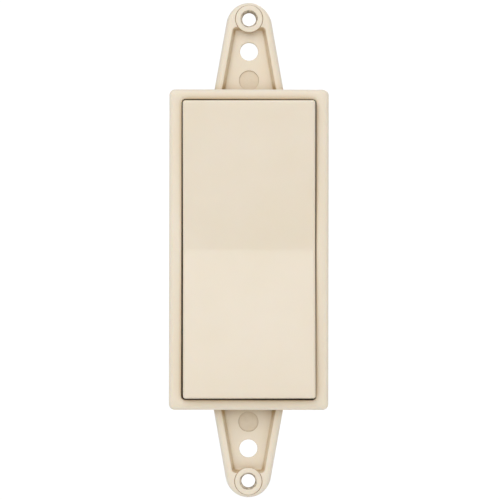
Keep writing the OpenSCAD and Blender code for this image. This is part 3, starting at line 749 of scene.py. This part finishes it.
def flatRocker():
    # the rocker before its face is bent: a hollow tray with a round front edge
    w, h = rockerHigh.x - rockerLow.x, rockerHigh.z - rockerLow.z
    creaseY = rockerLow.y + h / 2 * math.tan(tiltAngle)
    lowY = rockerHigh.y
    e, wall = rocker["edgeR"], rocker["wall"]
    inW, inH = w - 2 * wall, h - 2 * wall
    underY = creaseY + rocker["faceT"]
    rings, faceShare = [], []

    def ring(w, h, r, y, share):
        rings.append(roundRing(w, h, r, y, crowd=rockerRows))
        faceShare.extend([share] * len(rings[-1]))

    innerR = 0.2 * mm
    cornerR = rocker["cornerR"]
    ring(inW - 2 * innerR, inH - 2 * innerR, 0, underY, 1)
    ring(inW, inH, innerR, underY, 1)
    ring(inW, inH, innerR, lowY - 0.1 * mm, 0)
    ring(inW + 0.1 * mm, inH + 0.1 * mm, innerR + 0.05 * mm, lowY, 0)
    ring(w - 0.2 * mm, h - 0.2 * mm, cornerR - 0.1 * mm, lowY, 0)
    ring(w, h, cornerR, lowY - 0.1 * mm, 0)
    steps = 7
    for k in range(steps + 1):
        a = math.pi / 2 * k / steps
        inset = rocker["draft"] + (e - rocker["draft"]) * (1 - math.cos(a))
        ring(w - 2 * inset, h - 2 * inset, cornerR - inset, creaseY + e * (1 - math.sin(a)), 1)
    ring(w - 2 * cornerR, h - 2 * cornerR, 0, creaseY, 1)
    verts = [p for r in rings for p in r]
    faces = bridge(rings)
    for gridW, gridH, inset, y in ((w, h, cornerR, creaseY), (inW, inH, innerR, underY)):
        gridVerts, gridFaces = faceGrid(gridW, gridH, inset, y)
        base = len(verts)
        verts += gridVerts
        faces += [tuple(base + i for i in f) for f in gridFaces]
        faceShare += [1.0] * len(gridVerts)
    mesh = meshFrom("rocker", verts, faces)
    share = mesh.attributes.new("faceShare", "FLOAT", "POINT")
    share.data.foreach_set("value", faceShare)
    return newObject("rockerShell", mesh)


def socket(tree, name, kind, default):
    item = tree.interface.new_socket(name=name, in_out="INPUT", socket_type=kind)
    if default is not None:
        item.default_value = default
    return item


def geometryTree(name):
    tree = bpy.data.node_groups.new(name, "GeometryNodeTree")
    tree.is_modifier = True
    tree.interface.new_socket(name="Geometry", in_out="INPUT", socket_type="NodeSocketGeometry")
    tree.interface.new_socket(name="Geometry", in_out="OUTPUT", socket_type="NodeSocketGeometry")
    start = tree.nodes.new("NodeGroupInput")
    end = tree.nodes.new("NodeGroupOutput")
    return tree, start, end


def setInputs(obj, tree, values):
    mod = obj.modifiers.new(tree.name, "NODES")
    mod.node_group = tree
    names = {item.name: item.identifier for item in tree.interface.items_tree
             if item.item_type == "SOCKET" and item.in_out == "INPUT"}
    for name, value in values.items():
        mod[names[name]] = value
    return mod


def finishTree(tree, geometry, end, material):
    realize = tree.nodes.new("GeometryNodeRealizeInstances")
    paint = tree.nodes.new("GeometryNodeSetMaterial")
    paint.inputs["Material"].default_value = material
    tree.links.new(geometry, realize.inputs[0])
    tree.links.new(realize.outputs[0], paint.inputs["Geometry"])
    tree.links.new(paint.outputs[0], end.inputs[0])


def rockerFaceTree():
    # bends the flat tray: both halves rise from a soft crease, and the ends roll off a little
    tree, start, end = geometryTree("rockerFace")
    for label, size in (("Slope", 0.063), ("Softness", 0.7 * mm), ("Half Height", 30 * mm),
                        ("Roll", 0.05 * mm), ("Roll Length", 3 * mm)):
        socket(tree, label, "NodeSocketFloat", size)
    position = tree.nodes.new("GeometryNodeInputPosition")
    split = tree.nodes.new("ShaderNodeSeparateXYZ")
    tree.links.new(position.outputs[0], split.inputs[0])
    z = split.outputs["Z"]
    soft = start.outputs["Softness"]
    distance = mathNode(tree, "SQRT", mathNode(tree, "ADD", mathNode(tree, "MULTIPLY", z, z),
                                               mathNode(tree, "MULTIPLY", soft, soft)))
    rise = mathNode(tree, "MULTIPLY", mathNode(tree, "SUBTRACT", distance, soft), start.outputs["Slope"])
    past = mathNode(tree, "SUBTRACT", mathNode(tree, "ABSOLUTE", z),
                    mathNode(tree, "SUBTRACT", start.outputs["Half Height"], start.outputs["Roll Length"]))
    share = mathNode(tree, "MAXIMUM", mathNode(tree, "DIVIDE", past, start.outputs["Roll Length"]), 0.0)
    roll = mathNode(tree, "MULTIPLY", mathNode(tree, "MULTIPLY", share, share), start.outputs["Roll"])
    mask = tree.nodes.new("GeometryNodeInputNamedAttribute")
    mask.data_type = "FLOAT"
    mask.inputs["Name"].default_value = "faceShare"
    lift = mathNode(tree, "MULTIPLY", mathNode(tree, "SUBTRACT", roll, rise), mask.outputs["Attribute"])
    offset = tree.nodes.new("ShaderNodeCombineXYZ")
    tree.links.new(lift, offset.inputs["Y"])
    place = tree.nodes.new("GeometryNodeSetPosition")
    tree.links.new(start.outputs["Geometry"], place.inputs["Geometry"])
    tree.links.new(offset.outputs[0], place.inputs["Offset"])
    finishTree(tree, place.outputs[0], end, ivoryRocker)
    return tree


def bendFace(obj):
    h = rockerHigh.z - rockerLow.z
    setInputs(obj, rockerFaceTree(), {
        "Slope": math.tan(tiltAngle), "Softness": rocker["softness"], "Half Height": h / 2,
        "Roll": rocker["endRoll"], "Roll Length": rocker["endRollLength"]})
    return bakeModifiers(obj)


def bentBox(x0, x1, y0, y1, z0, z1):
    verts = [(x, y, z) for x in (x0, x1) for y in (y0, y1) for z in (z0, z1)]
    faces = [(0, 1, 3, 2), (4, 6, 7, 5), (0, 4, 5, 1), (2, 3, 7, 6), (0, 2, 6, 4), (1, 5, 7, 3)]
    mesh = meshFrom("rib", verts, faces)
    tidyMesh(mesh)
    obj = newObject("rib", mesh)
    mod = obj.modifiers.new("edge", "BEVEL")
    mod.width = under["ribEdge"]
    mod.segments = 2
    return bakeModifiers(obj)


def hingeLug(x0, x1):
    # rounded lug with the bore that runs on the pivot pin
    around = 48
    r, hole = under["lugR"], under["lugBore"]
    topY = pivotY - under["lugTop"]
    outline = [(r * math.cos(a), r * math.sin(a)) for a in
               [math.pi * k / (around // 2) for k in range(around // 2 + 1)]]
    outline = [(-c, s) for c, s in outline]
    points = [(pivotY + s, c) for c, s in outline] + [(topY, r), (topY, -r)]
    bore = [(pivotY + hole * math.cos(2 * math.pi * k / around), hole * math.sin(2 * math.pi * k / around))
            for k in range(around)]
    verts = [(x0, y, z) for y, z in points] + [(x1, y, z) for y, z in points]
    n = len(points)
    faces = [(k, (k + 1) % n, n + (k + 1) % n, n + k) for k in range(n)]
    faces += [tuple(range(n)), tuple(range(n, 2 * n))]
    mesh = meshFrom("lug", verts, faces)
    tidyMesh(mesh)
    lug = newObject("lug", mesh)
    m = len(bore)
    verts = [(x0 - mm, y, z) for y, z in bore] + [(x1 + mm, y, z) for y, z in bore]
    faces = [(k, (k + 1) % m, m + (k + 1) % m, m + k) for k in range(m)]
    faces += [tuple(range(m)), tuple(range(m, 2 * m))]
    mesh = meshFrom("bore", verts, faces)
    tidyMesh(mesh)
    return combine(lug, newObject("bore", mesh), "DIFFERENCE")


def rockerInside():
    # lugs, pushers and ribs under the face, at the places of the mechanism they meet
    plungerLow, plungerHigh = span("upper_plunger")
    plungerZ = (plungerLow.z + plungerHigh.z) / 2
    lugOut = span("pivot_pin")[1].x - under["lugInset"]
    lugIn = lugOut - under["lugT"]
    ribIn = lugIn + under["ribT"]
    pusherY = plungerLow.y - under["pusherClear"]
    ribLowY = pivotY - under["ribClear"]
    half = under["pusherHalf"]
    underY = rockerLow.y + (rockerHigh.z - rockerLow.z) / 2 * math.tan(tiltAngle) + rocker["faceT"]
    pieces = []
    for s in (-1, 1):
        pieces.append(hingeLug(min(s * lugIn, s * lugOut), max(s * lugIn, s * lugOut)))
        pieces.append(bentBox(min(s * lugIn, s * ribIn), max(s * lugIn, s * ribIn),
                              underY - under["sink"], ribLowY, -plungerZ, plungerZ))
        z = s * plungerZ
        deepY = underY - plungerZ * math.tan(tiltAngle) - 0.3 * mm
        pieces.append(bentBox(-half, half, deepY, pusherY - 0.35 * mm, z - 0.95 * mm, z + 0.95 * mm))
        r = under["pusherR"]
        roller = turnedSolid("pusher", [(r - 0.08 * mm, -half + 0.05 * mm), (r, -half + 0.15 * mm),
                                        (r, half - 0.15 * mm), (r - 0.08 * mm, half - 0.05 * mm)], 40)
        roller.data.transform(Matrix.Rotation(math.radians(90), 4, "Z"))
        roller.data.transform(Matrix.Translation((0, pusherY - mm, z)))
        pieces.append(roller)
    return pieces


def rockerShell():
    obj = bendFace(flatRocker())
    tidyMesh(obj.data, 2e-7)
    whole = joined("rockerShell", [obj] + rockerInside())
    # the rocker sits a hair off true in its opening, as a loose pivot lets it
    offTrue = Matrix.Translation((rocker["shift"], 0, rocker["lift"]))
    whole.data.transform(offTrue @ Matrix.Rotation(rocker["lean"], 4, "Y"))
    smoothShade(whole, 32)
    weighNormals(whole)
    dress(whole, ivoryRocker)
    return whole


shell = rockerShell()
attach(shell, "rocker_body")
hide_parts("rocker")
print("rocker", len(shell.data.polygons), "faces")


def softened(node, name, width, material, segments=2, sharpDeg=25):
    # a copy of a CAD piece with its sharp edges rounded as tooling leaves them
    mesh = frame["nodes"][node].data.copy()
    bm = bmesh.new()
    bm.from_mesh(mesh)
    bmesh.ops.remove_doubles(bm, verts=bm.verts, dist=1e-6)
    bmesh.ops.dissolve_limit(bm, angle_limit=math.radians(1), verts=bm.verts, edges=bm.edges)
    edges = [e for e in bm.edges if len(e.link_faces) == 2 and e.calc_face_angle() > math.radians(sharpDeg)]
    bmesh.ops.bevel(bm, geom=edges, offset=width, segments=segments, profile=0.5, affect="EDGES",
                    clamp_overlap=True)
    bmesh.ops.triangulate(bm, faces=[f for f in bm.faces if len(f.verts) > 4])
    bmesh.ops.recalc_face_normals(bm, faces=bm.faces)
    bm.to_mesh(mesh)
    bm.free()
    obj = newObject(name, mesh)
    smoothShade(obj, 40)
    weighNormals(obj)
    dress(obj, material)
    return obj


def keep(obj, body, node):
    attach(obj, body)
    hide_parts(node)


behind = {
    "switch_body": ("switchCasing", 0.18, blackMoulding, "root", "black_moulding"),
    "mechanism_cover": ("guideCover", 0.15, blackMoulding, "root", "black_moulding"),
    "clamp_plates": ("clampPlates", 0.12, zincPlate, "root", "zinc_plate"),
    "common_terminal": ("commonStrip", 0.1, terminalBrass, "root", "terminal_brass"),
    "upper_terminal": ("upperStrip", 0.1, terminalBrass, "root", "terminal_brass"),
    "lower_terminal": ("lowerStrip", 0.1, terminalBrass, "root", "terminal_brass"),
    "upper_plunger": ("upperPushRod", 0.15, naturalNylon, "upper_plunger_body", "natural_nylon"),
    "lower_plunger": ("lowerPushRod", 0.15, naturalNylon, "lower_plunger_body", "natural_nylon"),
}
for node, (name, width, material, body, slotName) in behind.items():
    keep(softened(node, name, width * mm, material), body, node)
print("casing, cover, strips and push rods")

carried = {
    "pivot_pin": groundSteel, "terminal_nuts": zincPlate,
    "upper_contact_bridge": bridgeBronze, "lower_contact_bridge": bridgeBronze,
    "upper_moving_contacts": contactSilver, "lower_moving_contacts": contactSilver,
    "upper_bridge_retainer": springSteel, "lower_bridge_retainer": springSteel,
    "common_fixed_contacts": contactSilver, "upper_fixed_contact": contactSilver,
    "lower_fixed_contact": contactSilver,
}
for node, material in carried.items():
    obj = frame["nodes"][node]
    if not obj.data.materials:
        obj.data.materials.append(material)
    obj.material_slots[0].link = "OBJECT"
    obj.material_slots[0].material = material


bodyScrew = {"headR": 1.9 * mm, "headT": 1.4 * mm, "shankR": 0.78 * mm, "shankLength": 6.1 * mm,
             "pitch": 0.6 * mm, "threadR": 0.2 * mm, "slotW": 0.5 * mm, "slotDepth": 0.8 * mm,
             "slotLength": 2.4 * mm, "cross": True, "dome": 0.45 * mm}
clampScrew = {"headR": 2.9 * mm, "headT": 1.9 * mm, "shankR": 1.22 * mm, "shankLength": 3.2 * mm,
              "pitch": 0.5 * mm, "threadR": 0.24 * mm, "slotW": 0.8 * mm, "slotDepth": 1.0 * mm,
              "slotLength": 7 * mm, "cross": False, "dome": 0.5 * mm}


screwInputs = {"Head Radius": "headR", "Head Height": "headT", "Shank Radius": "shankR",
               "Shank Length": "shankLength", "Thread Pitch": "pitch", "Thread Radius": "threadR",
               "Dome": "dome"}


def screwTree(name, screw, material):
    # one screw, its head towards +Y, put on every point of the input
    tree, start, end = geometryTree(name)
    for label, key in screwInputs.items():
        socket(tree, label, "NodeSocketFloat", screw[key])
    new = tree.nodes.new
    head = new("GeometryNodeMeshCylinder")
    head.fill_type = "TRIANGLE_FAN"
    head.inputs["Vertices"].default_value = 48
    head.inputs["Side Segments"].default_value = 6
    head.inputs["Fill Segments"].default_value = 8
    tree.links.new(start.outputs["Head Radius"], head.inputs["Radius"])
    tree.links.new(start.outputs["Head Height"], head.inputs["Depth"])
    # the outer end is drawn in to a low dome
    position = new("GeometryNodeInputPosition")
    split = new("ShaderNodeSeparateXYZ")
    tree.links.new(position.outputs[0], split.inputs[0])
    flat = new("ShaderNodeCombineXYZ")
    tree.links.new(split.outputs["X"], flat.inputs["X"])
    tree.links.new(split.outputs["Y"], flat.inputs["Y"])
    length = new("ShaderNodeVectorMath")
    length.operation = "LENGTH"
    tree.links.new(flat.outputs[0], length.inputs[0])
    radial = mathNode(tree, "DIVIDE", length.outputs["Value"], start.outputs["Head Radius"])
    curve = mathNode(tree, "POWER", radial, 3.0)
    above = mathNode(tree, "MAXIMUM", split.outputs["Z"], 0.0)
    share = mathNode(tree, "DIVIDE", above, mathNode(tree, "MULTIPLY", start.outputs["Head Height"], 0.5))
    drop = mathNode(tree, "MULTIPLY", mathNode(tree, "MULTIPLY", curve, share),
                    mathNode(tree, "MULTIPLY", start.outputs["Dome"], -1.0))
    offset = new("ShaderNodeCombineXYZ")
    tree.links.new(drop, offset.inputs["Z"])
    domed = new("GeometryNodeSetPosition")
    tree.links.new(head.outputs["Mesh"], domed.inputs["Geometry"])
    tree.links.new(offset.outputs[0], domed.inputs["Offset"])
    cut = new("GeometryNodeMeshBoolean")
    cut.operation = "DIFFERENCE"
    cut.solver = "EXACT"
    tree.links.new(domed.outputs[0], cut.inputs["Mesh 1"])
    for turn in ((0, 90) if screw["cross"] else (0,)):
        slotBox = new("GeometryNodeMeshCube")
        slotBox.inputs["Size"].default_value = (screw["slotLength"], screw["slotW"], 2 * screw["slotDepth"])
        slotPlace = new("GeometryNodeTransform")
        slotPlace.inputs["Translation"].default_value = (0, 0, screw["headT"] / 2)
        slotPlace.inputs["Rotation"].default_value = (0, 0, math.radians(turn))
        tree.links.new(slotBox.outputs["Mesh"], slotPlace.inputs["Geometry"])
        tree.links.new(slotPlace.outputs[0], cut.inputs["Mesh 2"])
    headPlace = new("GeometryNodeTransform")
    headPlace.inputs["Translation"].default_value = (0, 0, screw["headT"] / 2)
    tree.links.new(cut.outputs["Mesh"], headPlace.inputs["Geometry"])
    core = new("GeometryNodeMeshCylinder")
    core.inputs["Vertices"].default_value = 32
    tree.links.new(start.outputs["Shank Radius"], core.inputs["Radius"])
    tree.links.new(start.outputs["Shank Length"], core.inputs["Depth"])
    corePlace = new("GeometryNodeTransform")
    coreMove = new("ShaderNodeCombineXYZ")
    tree.links.new(mathNode(tree, "MULTIPLY", start.outputs["Shank Length"], -0.5), coreMove.inputs["Z"])
    tree.links.new(coreMove.outputs[0], corePlace.inputs["Translation"])
    tree.links.new(core.outputs["Mesh"], corePlace.inputs["Geometry"])
    helix = new("GeometryNodeCurveSpiral")
    helix.inputs["Resolution"].default_value = 24
    turns = mathNode(tree, "DIVIDE", mathNode(tree, "MULTIPLY", start.outputs["Shank Length"], 0.9),
                     start.outputs["Thread Pitch"])
    tree.links.new(turns, helix.inputs["Rotations"])
    tree.links.new(start.outputs["Shank Radius"], helix.inputs["Start Radius"])
    tree.links.new(start.outputs["Shank Radius"], helix.inputs["End Radius"])
    tree.links.new(mathNode(tree, "MULTIPLY", start.outputs["Shank Length"], -0.9), helix.inputs["Height"])
    ridge = new("GeometryNodeCurvePrimitiveCircle")
    ridge.inputs["Resolution"].default_value = 5
    tree.links.new(start.outputs["Thread Radius"], ridge.inputs["Radius"])
    wound = new("GeometryNodeCurveToMesh")
    wound.inputs["Fill Caps"].default_value = True
    tree.links.new(helix.outputs[0], wound.inputs["Curve"])
    tree.links.new(ridge.outputs[0], wound.inputs["Profile Curve"])
    threadPlace = new("GeometryNodeTransform")
    threadPlace.inputs["Translation"].default_value = (0, 0, -0.3 * mm)
    tree.links.new(wound.outputs[0], threadPlace.inputs["Geometry"])
    join = new("GeometryNodeJoinGeometry")
    for part in (headPlace, corePlace, threadPlace):
        tree.links.new(part.outputs[0], join.inputs[0])
    onPoints = new("GeometryNodeInstanceOnPoints")
    tree.links.new(start.outputs["Geometry"], onPoints.inputs["Points"])
    tree.links.new(join.outputs[0], onPoints.inputs["Instance"])
    angle = new("FunctionNodeInputVector")
    angle.vector = (math.radians(-90), 0, 0)
    tree.links.new(angle.outputs[0], onPoints.inputs["Rotation"])
    spin = new("GeometryNodeRotateInstances")
    turnBy = new("FunctionNodeRandomValue")
    turnBy.data_type = "FLOAT"
    turnBy.inputs["Min"].default_value = -1.2
    turnBy.inputs["Max"].default_value = 1.2
    turnBy.inputs["Seed"].default_value = 4
    spinVector = new("ShaderNodeCombineXYZ")
    floatOut = next(o for o in turnBy.outputs if o.enabled)
    tree.links.new(floatOut, spinVector.inputs["Z"])
    tree.links.new(spinVector.outputs[0], spin.inputs["Rotation"])
    tree.links.new(onPoints.outputs[0], spin.inputs["Instances"])
    finishTree(tree, spin.outputs[0], end, material)
    return tree


def screwSet(name, points, screw, material):
    mesh = meshFrom(name, points, [])
    obj = newObject(name, mesh)
    setInputs(obj, screwTree(name + "Tree", screw, material),
              {label: screw[key] for label, key in screwInputs.items()})
    bakeModifiers(obj)
    dress(obj, material)
    smoothShade(obj, 35)
    return obj


def screwPoints(node, screw, rows, columns):
    low, high = span(node)
    y = high.y - screw["headT"]
    r = screw["headR"]
    xs = (low.x + r, high.x - r) if columns == 2 else ((low.x + high.x) / 2,)
    zs = (low.z + r, high.z - r) if rows == 2 else (low.z + r, (low.z + high.z) / 2, high.z - r)
    return [(x, y, z) for x in xs for z in zs]


keep(screwSet("casingScrews", screwPoints("body_screws", bodyScrew, 2, 2), bodyScrew, zincPlate),
     "root", "body_screws")
keep(screwSet("clampScrews", screwPoints("terminal_screws", clampScrew, 3, 1), clampScrew, zincPlate),
     "root", "terminal_screws")
print("screws")


spring = {"outerR": 2.0 * mm, "wireR": 0.2 * mm, "turns": 7.0, "steps": 36}


def springTree():
    # a compression spring with closed ends: the pitch falls to the wire's thickness at both ends
    tree, start, end = geometryTree("springCoil")
    for label, size in (("Length", 7 * mm), ("Coil Radius", 1.8 * mm), ("Wire Radius", 0.2 * mm),
                        ("Turns", 7.0)):
        socket(tree, label, "NodeSocketFloat", size)
    new = tree.nodes.new
    helix = new("GeometryNodeCurveSpiral")
    helix.inputs["Resolution"].default_value = spring["steps"]
    tree.links.new(start.outputs["Turns"], helix.inputs["Rotations"])
    tree.links.new(start.outputs["Coil Radius"], helix.inputs["Start Radius"])
    tree.links.new(start.outputs["Coil Radius"], helix.inputs["End Radius"])
    tree.links.new(start.outputs["Length"], helix.inputs["Height"])
    position = new("GeometryNodeInputPosition")
    split = new("ShaderNodeSeparateXYZ")
    tree.links.new(position.outputs[0], split.inputs[0])
    share = mathNode(tree, "DIVIDE", split.outputs["Z"], start.outputs["Length"])
    eased = new("ShaderNodeMapRange")
    eased.interpolation_type = "SMOOTHSTEP"
    tree.links.new(share, eased.inputs["Value"])
    mixed = mathNode(tree, "ADD", mathNode(tree, "MULTIPLY", share, 0.35),
                     mathNode(tree, "MULTIPLY", eased.outputs["Result"], 0.65))
    offset = new("ShaderNodeCombineXYZ")
    tree.links.new(mathNode(tree, "MULTIPLY", mathNode(tree, "SUBTRACT", mixed, share),
                            start.outputs["Length"]), offset.inputs["Z"])
    place = new("GeometryNodeSetPosition")
    tree.links.new(helix.outputs[0], place.inputs["Geometry"])
    tree.links.new(offset.outputs[0], place.inputs["Offset"])
    wire = new("GeometryNodeCurvePrimitiveCircle")
    wire.inputs["Resolution"].default_value = 10
    tree.links.new(start.outputs["Wire Radius"], wire.inputs["Radius"])
    wound = new("GeometryNodeCurveToMesh")
    wound.inputs["Fill Caps"].default_value = True
    tree.links.new(place.outputs[0], wound.inputs["Curve"])
    tree.links.new(wire.outputs[0], wound.inputs["Profile Curve"])
    finishTree(tree, wound.outputs[0], end, springSteel)
    return tree


coilTree = springTree()
for side in ("upper", "lower"):
    low, high = span(side + "_return_spring")
    obj = newObject(side + "Spring", meshFrom(side + "Spring", [(0, 0, 0)], []))
    setInputs(obj, coilTree, {
        "Length": high.y - low.y - 2 * spring["wireR"], "Coil Radius": spring["outerR"] - spring["wireR"],
        "Wire Radius": spring["wireR"], "Turns": spring["turns"]})
    bakeModifiers(obj)
    tidyMesh(obj.data, 1e-7)
    obj.data.transform(Matrix.Translation((0, low.y + spring["wireR"], (low.z + high.z) / 2))
                       @ Matrix.Rotation(math.radians(-90), 4, "X"))
    smoothShade(obj, 60)
    dress(obj, springSteel)
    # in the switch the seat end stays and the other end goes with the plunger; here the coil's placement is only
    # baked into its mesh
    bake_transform(obj)
    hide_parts(side + "_return_spring")
print("springs")


studio = {"floorZ": -0.16, "floorR": 0.9, "camera": (-0.003, -0.60, -0.007), "span": 0.10465,
          "aim": (0.00028, 0.0, 0.0), "roll": math.radians(0.1), "skyLean": 0.2, "skyBack": 0.9,
          "skyStrength": 0.54, "skyLow": (1.03, 0.96, 0.88), "skyHigh": (0.95, 0.985, 1.06),
          "white": 1.05}
keyPanel = {"place": (-0.15, -0.86, 0.48), "size": 1.0, "power": 4.6, "colour": (0.95, 0.98, 1.06)}
backPanel = {"place": (0.3, 0.7, 0.45), "size": 0.5, "power": 3.0, "colour": (1, 1, 1)}


def paleFloor():
    turns = [2 * math.pi * k / 96 for k in range(96)]
    ring = [(studio["floorR"] * math.cos(a), studio["floorR"] * math.sin(a), studio["floorZ"]) for a in turns]
    obj = newObject("floor", meshFrom("floor", ring, [tuple(range(96))]))
    mat, tree, shader, coords = nodeMaterial("paleFloor")
    tint = noiseAt(tree, coords, 9, 2.0)
    tree.links.new(colourBetween(tree, tint.outputs["Fac"], (0.80, 0.80, 0.79), (0.84, 0.84, 0.83)),
                   shader.inputs["Base Color"])
    shader.inputs["Roughness"].default_value = 0.8
    dress(obj, mat)


def softLight(name, panel):
    light = bpy.data.lights.new(name, "AREA")
    light.shape = "DISK"
    light.size = panel["size"]
    light.energy = panel["power"]
    light.color = panel["colour"]
    obj = bpy.data.objects.new(name, light)
    bpy.context.scene.collection.objects.link(obj)
    obj.location = panel["place"]
    obj.rotation_euler = (-Vector(panel["place"])).to_track_quat("-Z", "Y").to_euler()


def studioWorld():
    # the object is lit by a soft pale surround, and the camera sees clean white behind it
    world = bpy.data.worlds.new("surround")
    bpy.context.scene.world = world
    world.use_nodes = True
    tree = world.node_tree
    tree.nodes.clear()
    out = tree.nodes.new("ShaderNodeOutputWorld")
    seen = tree.nodes.new("ShaderNodeBackground")
    seen.inputs["Color"].default_value = (1, 1, 1, 1)
    seen.inputs["Strength"].default_value = studio["white"]
    lit = tree.nodes.new("ShaderNodeBackground")
    coords = tree.nodes.new("ShaderNodeTexCoord")
    way = tree.nodes.new("ShaderNodeSeparateXYZ")
    tree.links.new(coords.outputs["Generated"], way.inputs[0])
    up = spread(tree, way.outputs["Z"], 1 - studio["skyLean"], 1 + studio["skyLean"], -1, 1)
    front = spread(tree, way.outputs["Y"], studio["skyBack"], 1, 0.5, -0.9)
    tree.links.new(mathNode(tree, "MULTIPLY", mathNode(tree, "MULTIPLY", up, front), studio["skyStrength"]),
                   lit.inputs["Strength"])
    tree.links.new(colourBetween(tree, spread(tree, way.outputs["Z"], 0, 1, -0.8, 0.8),
                                 studio["skyLow"], studio["skyHigh"]), lit.inputs["Color"])
    path = tree.nodes.new("ShaderNodeLightPath")
    mix = tree.nodes.new("ShaderNodeMixShader")
    tree.links.new(path.outputs["Is Camera Ray"], mix.inputs[0])
    tree.links.new(lit.outputs[0], mix.inputs[1])
    tree.links.new(seen.outputs[0], mix.inputs[2])
    tree.links.new(mix.outputs[0], out.inputs[0])


def camera():
    cam = bpy.data.cameras.new("camera")
    obj = bpy.data.objects.new("camera", cam)
    bpy.context.scene.collection.objects.link(obj)
    place, aim = Vector(studio["camera"]), Vector(studio["aim"])
    obj.location = place
    look = (aim - place).to_track_quat("-Z", "Y").to_matrix().to_4x4()
    obj.matrix_world = Matrix.Translation(place) @ look @ Matrix.Rotation(studio["roll"], 4, "Z")
    distance = rimY - place.y
    cam.sensor_width = 36
    cam.lens = 36 * distance / studio["span"]
    cam.clip_start = 0.01
    bpy.context.scene.camera = obj


paleFloor()
softLight("keyLight", keyPanel)
softLight("backFill", backPanel)
studioWorld()
camera()
view = bpy.context.scene.view_settings
view.view_transform = "Standard"
view.look = "None"
print("studio ready")
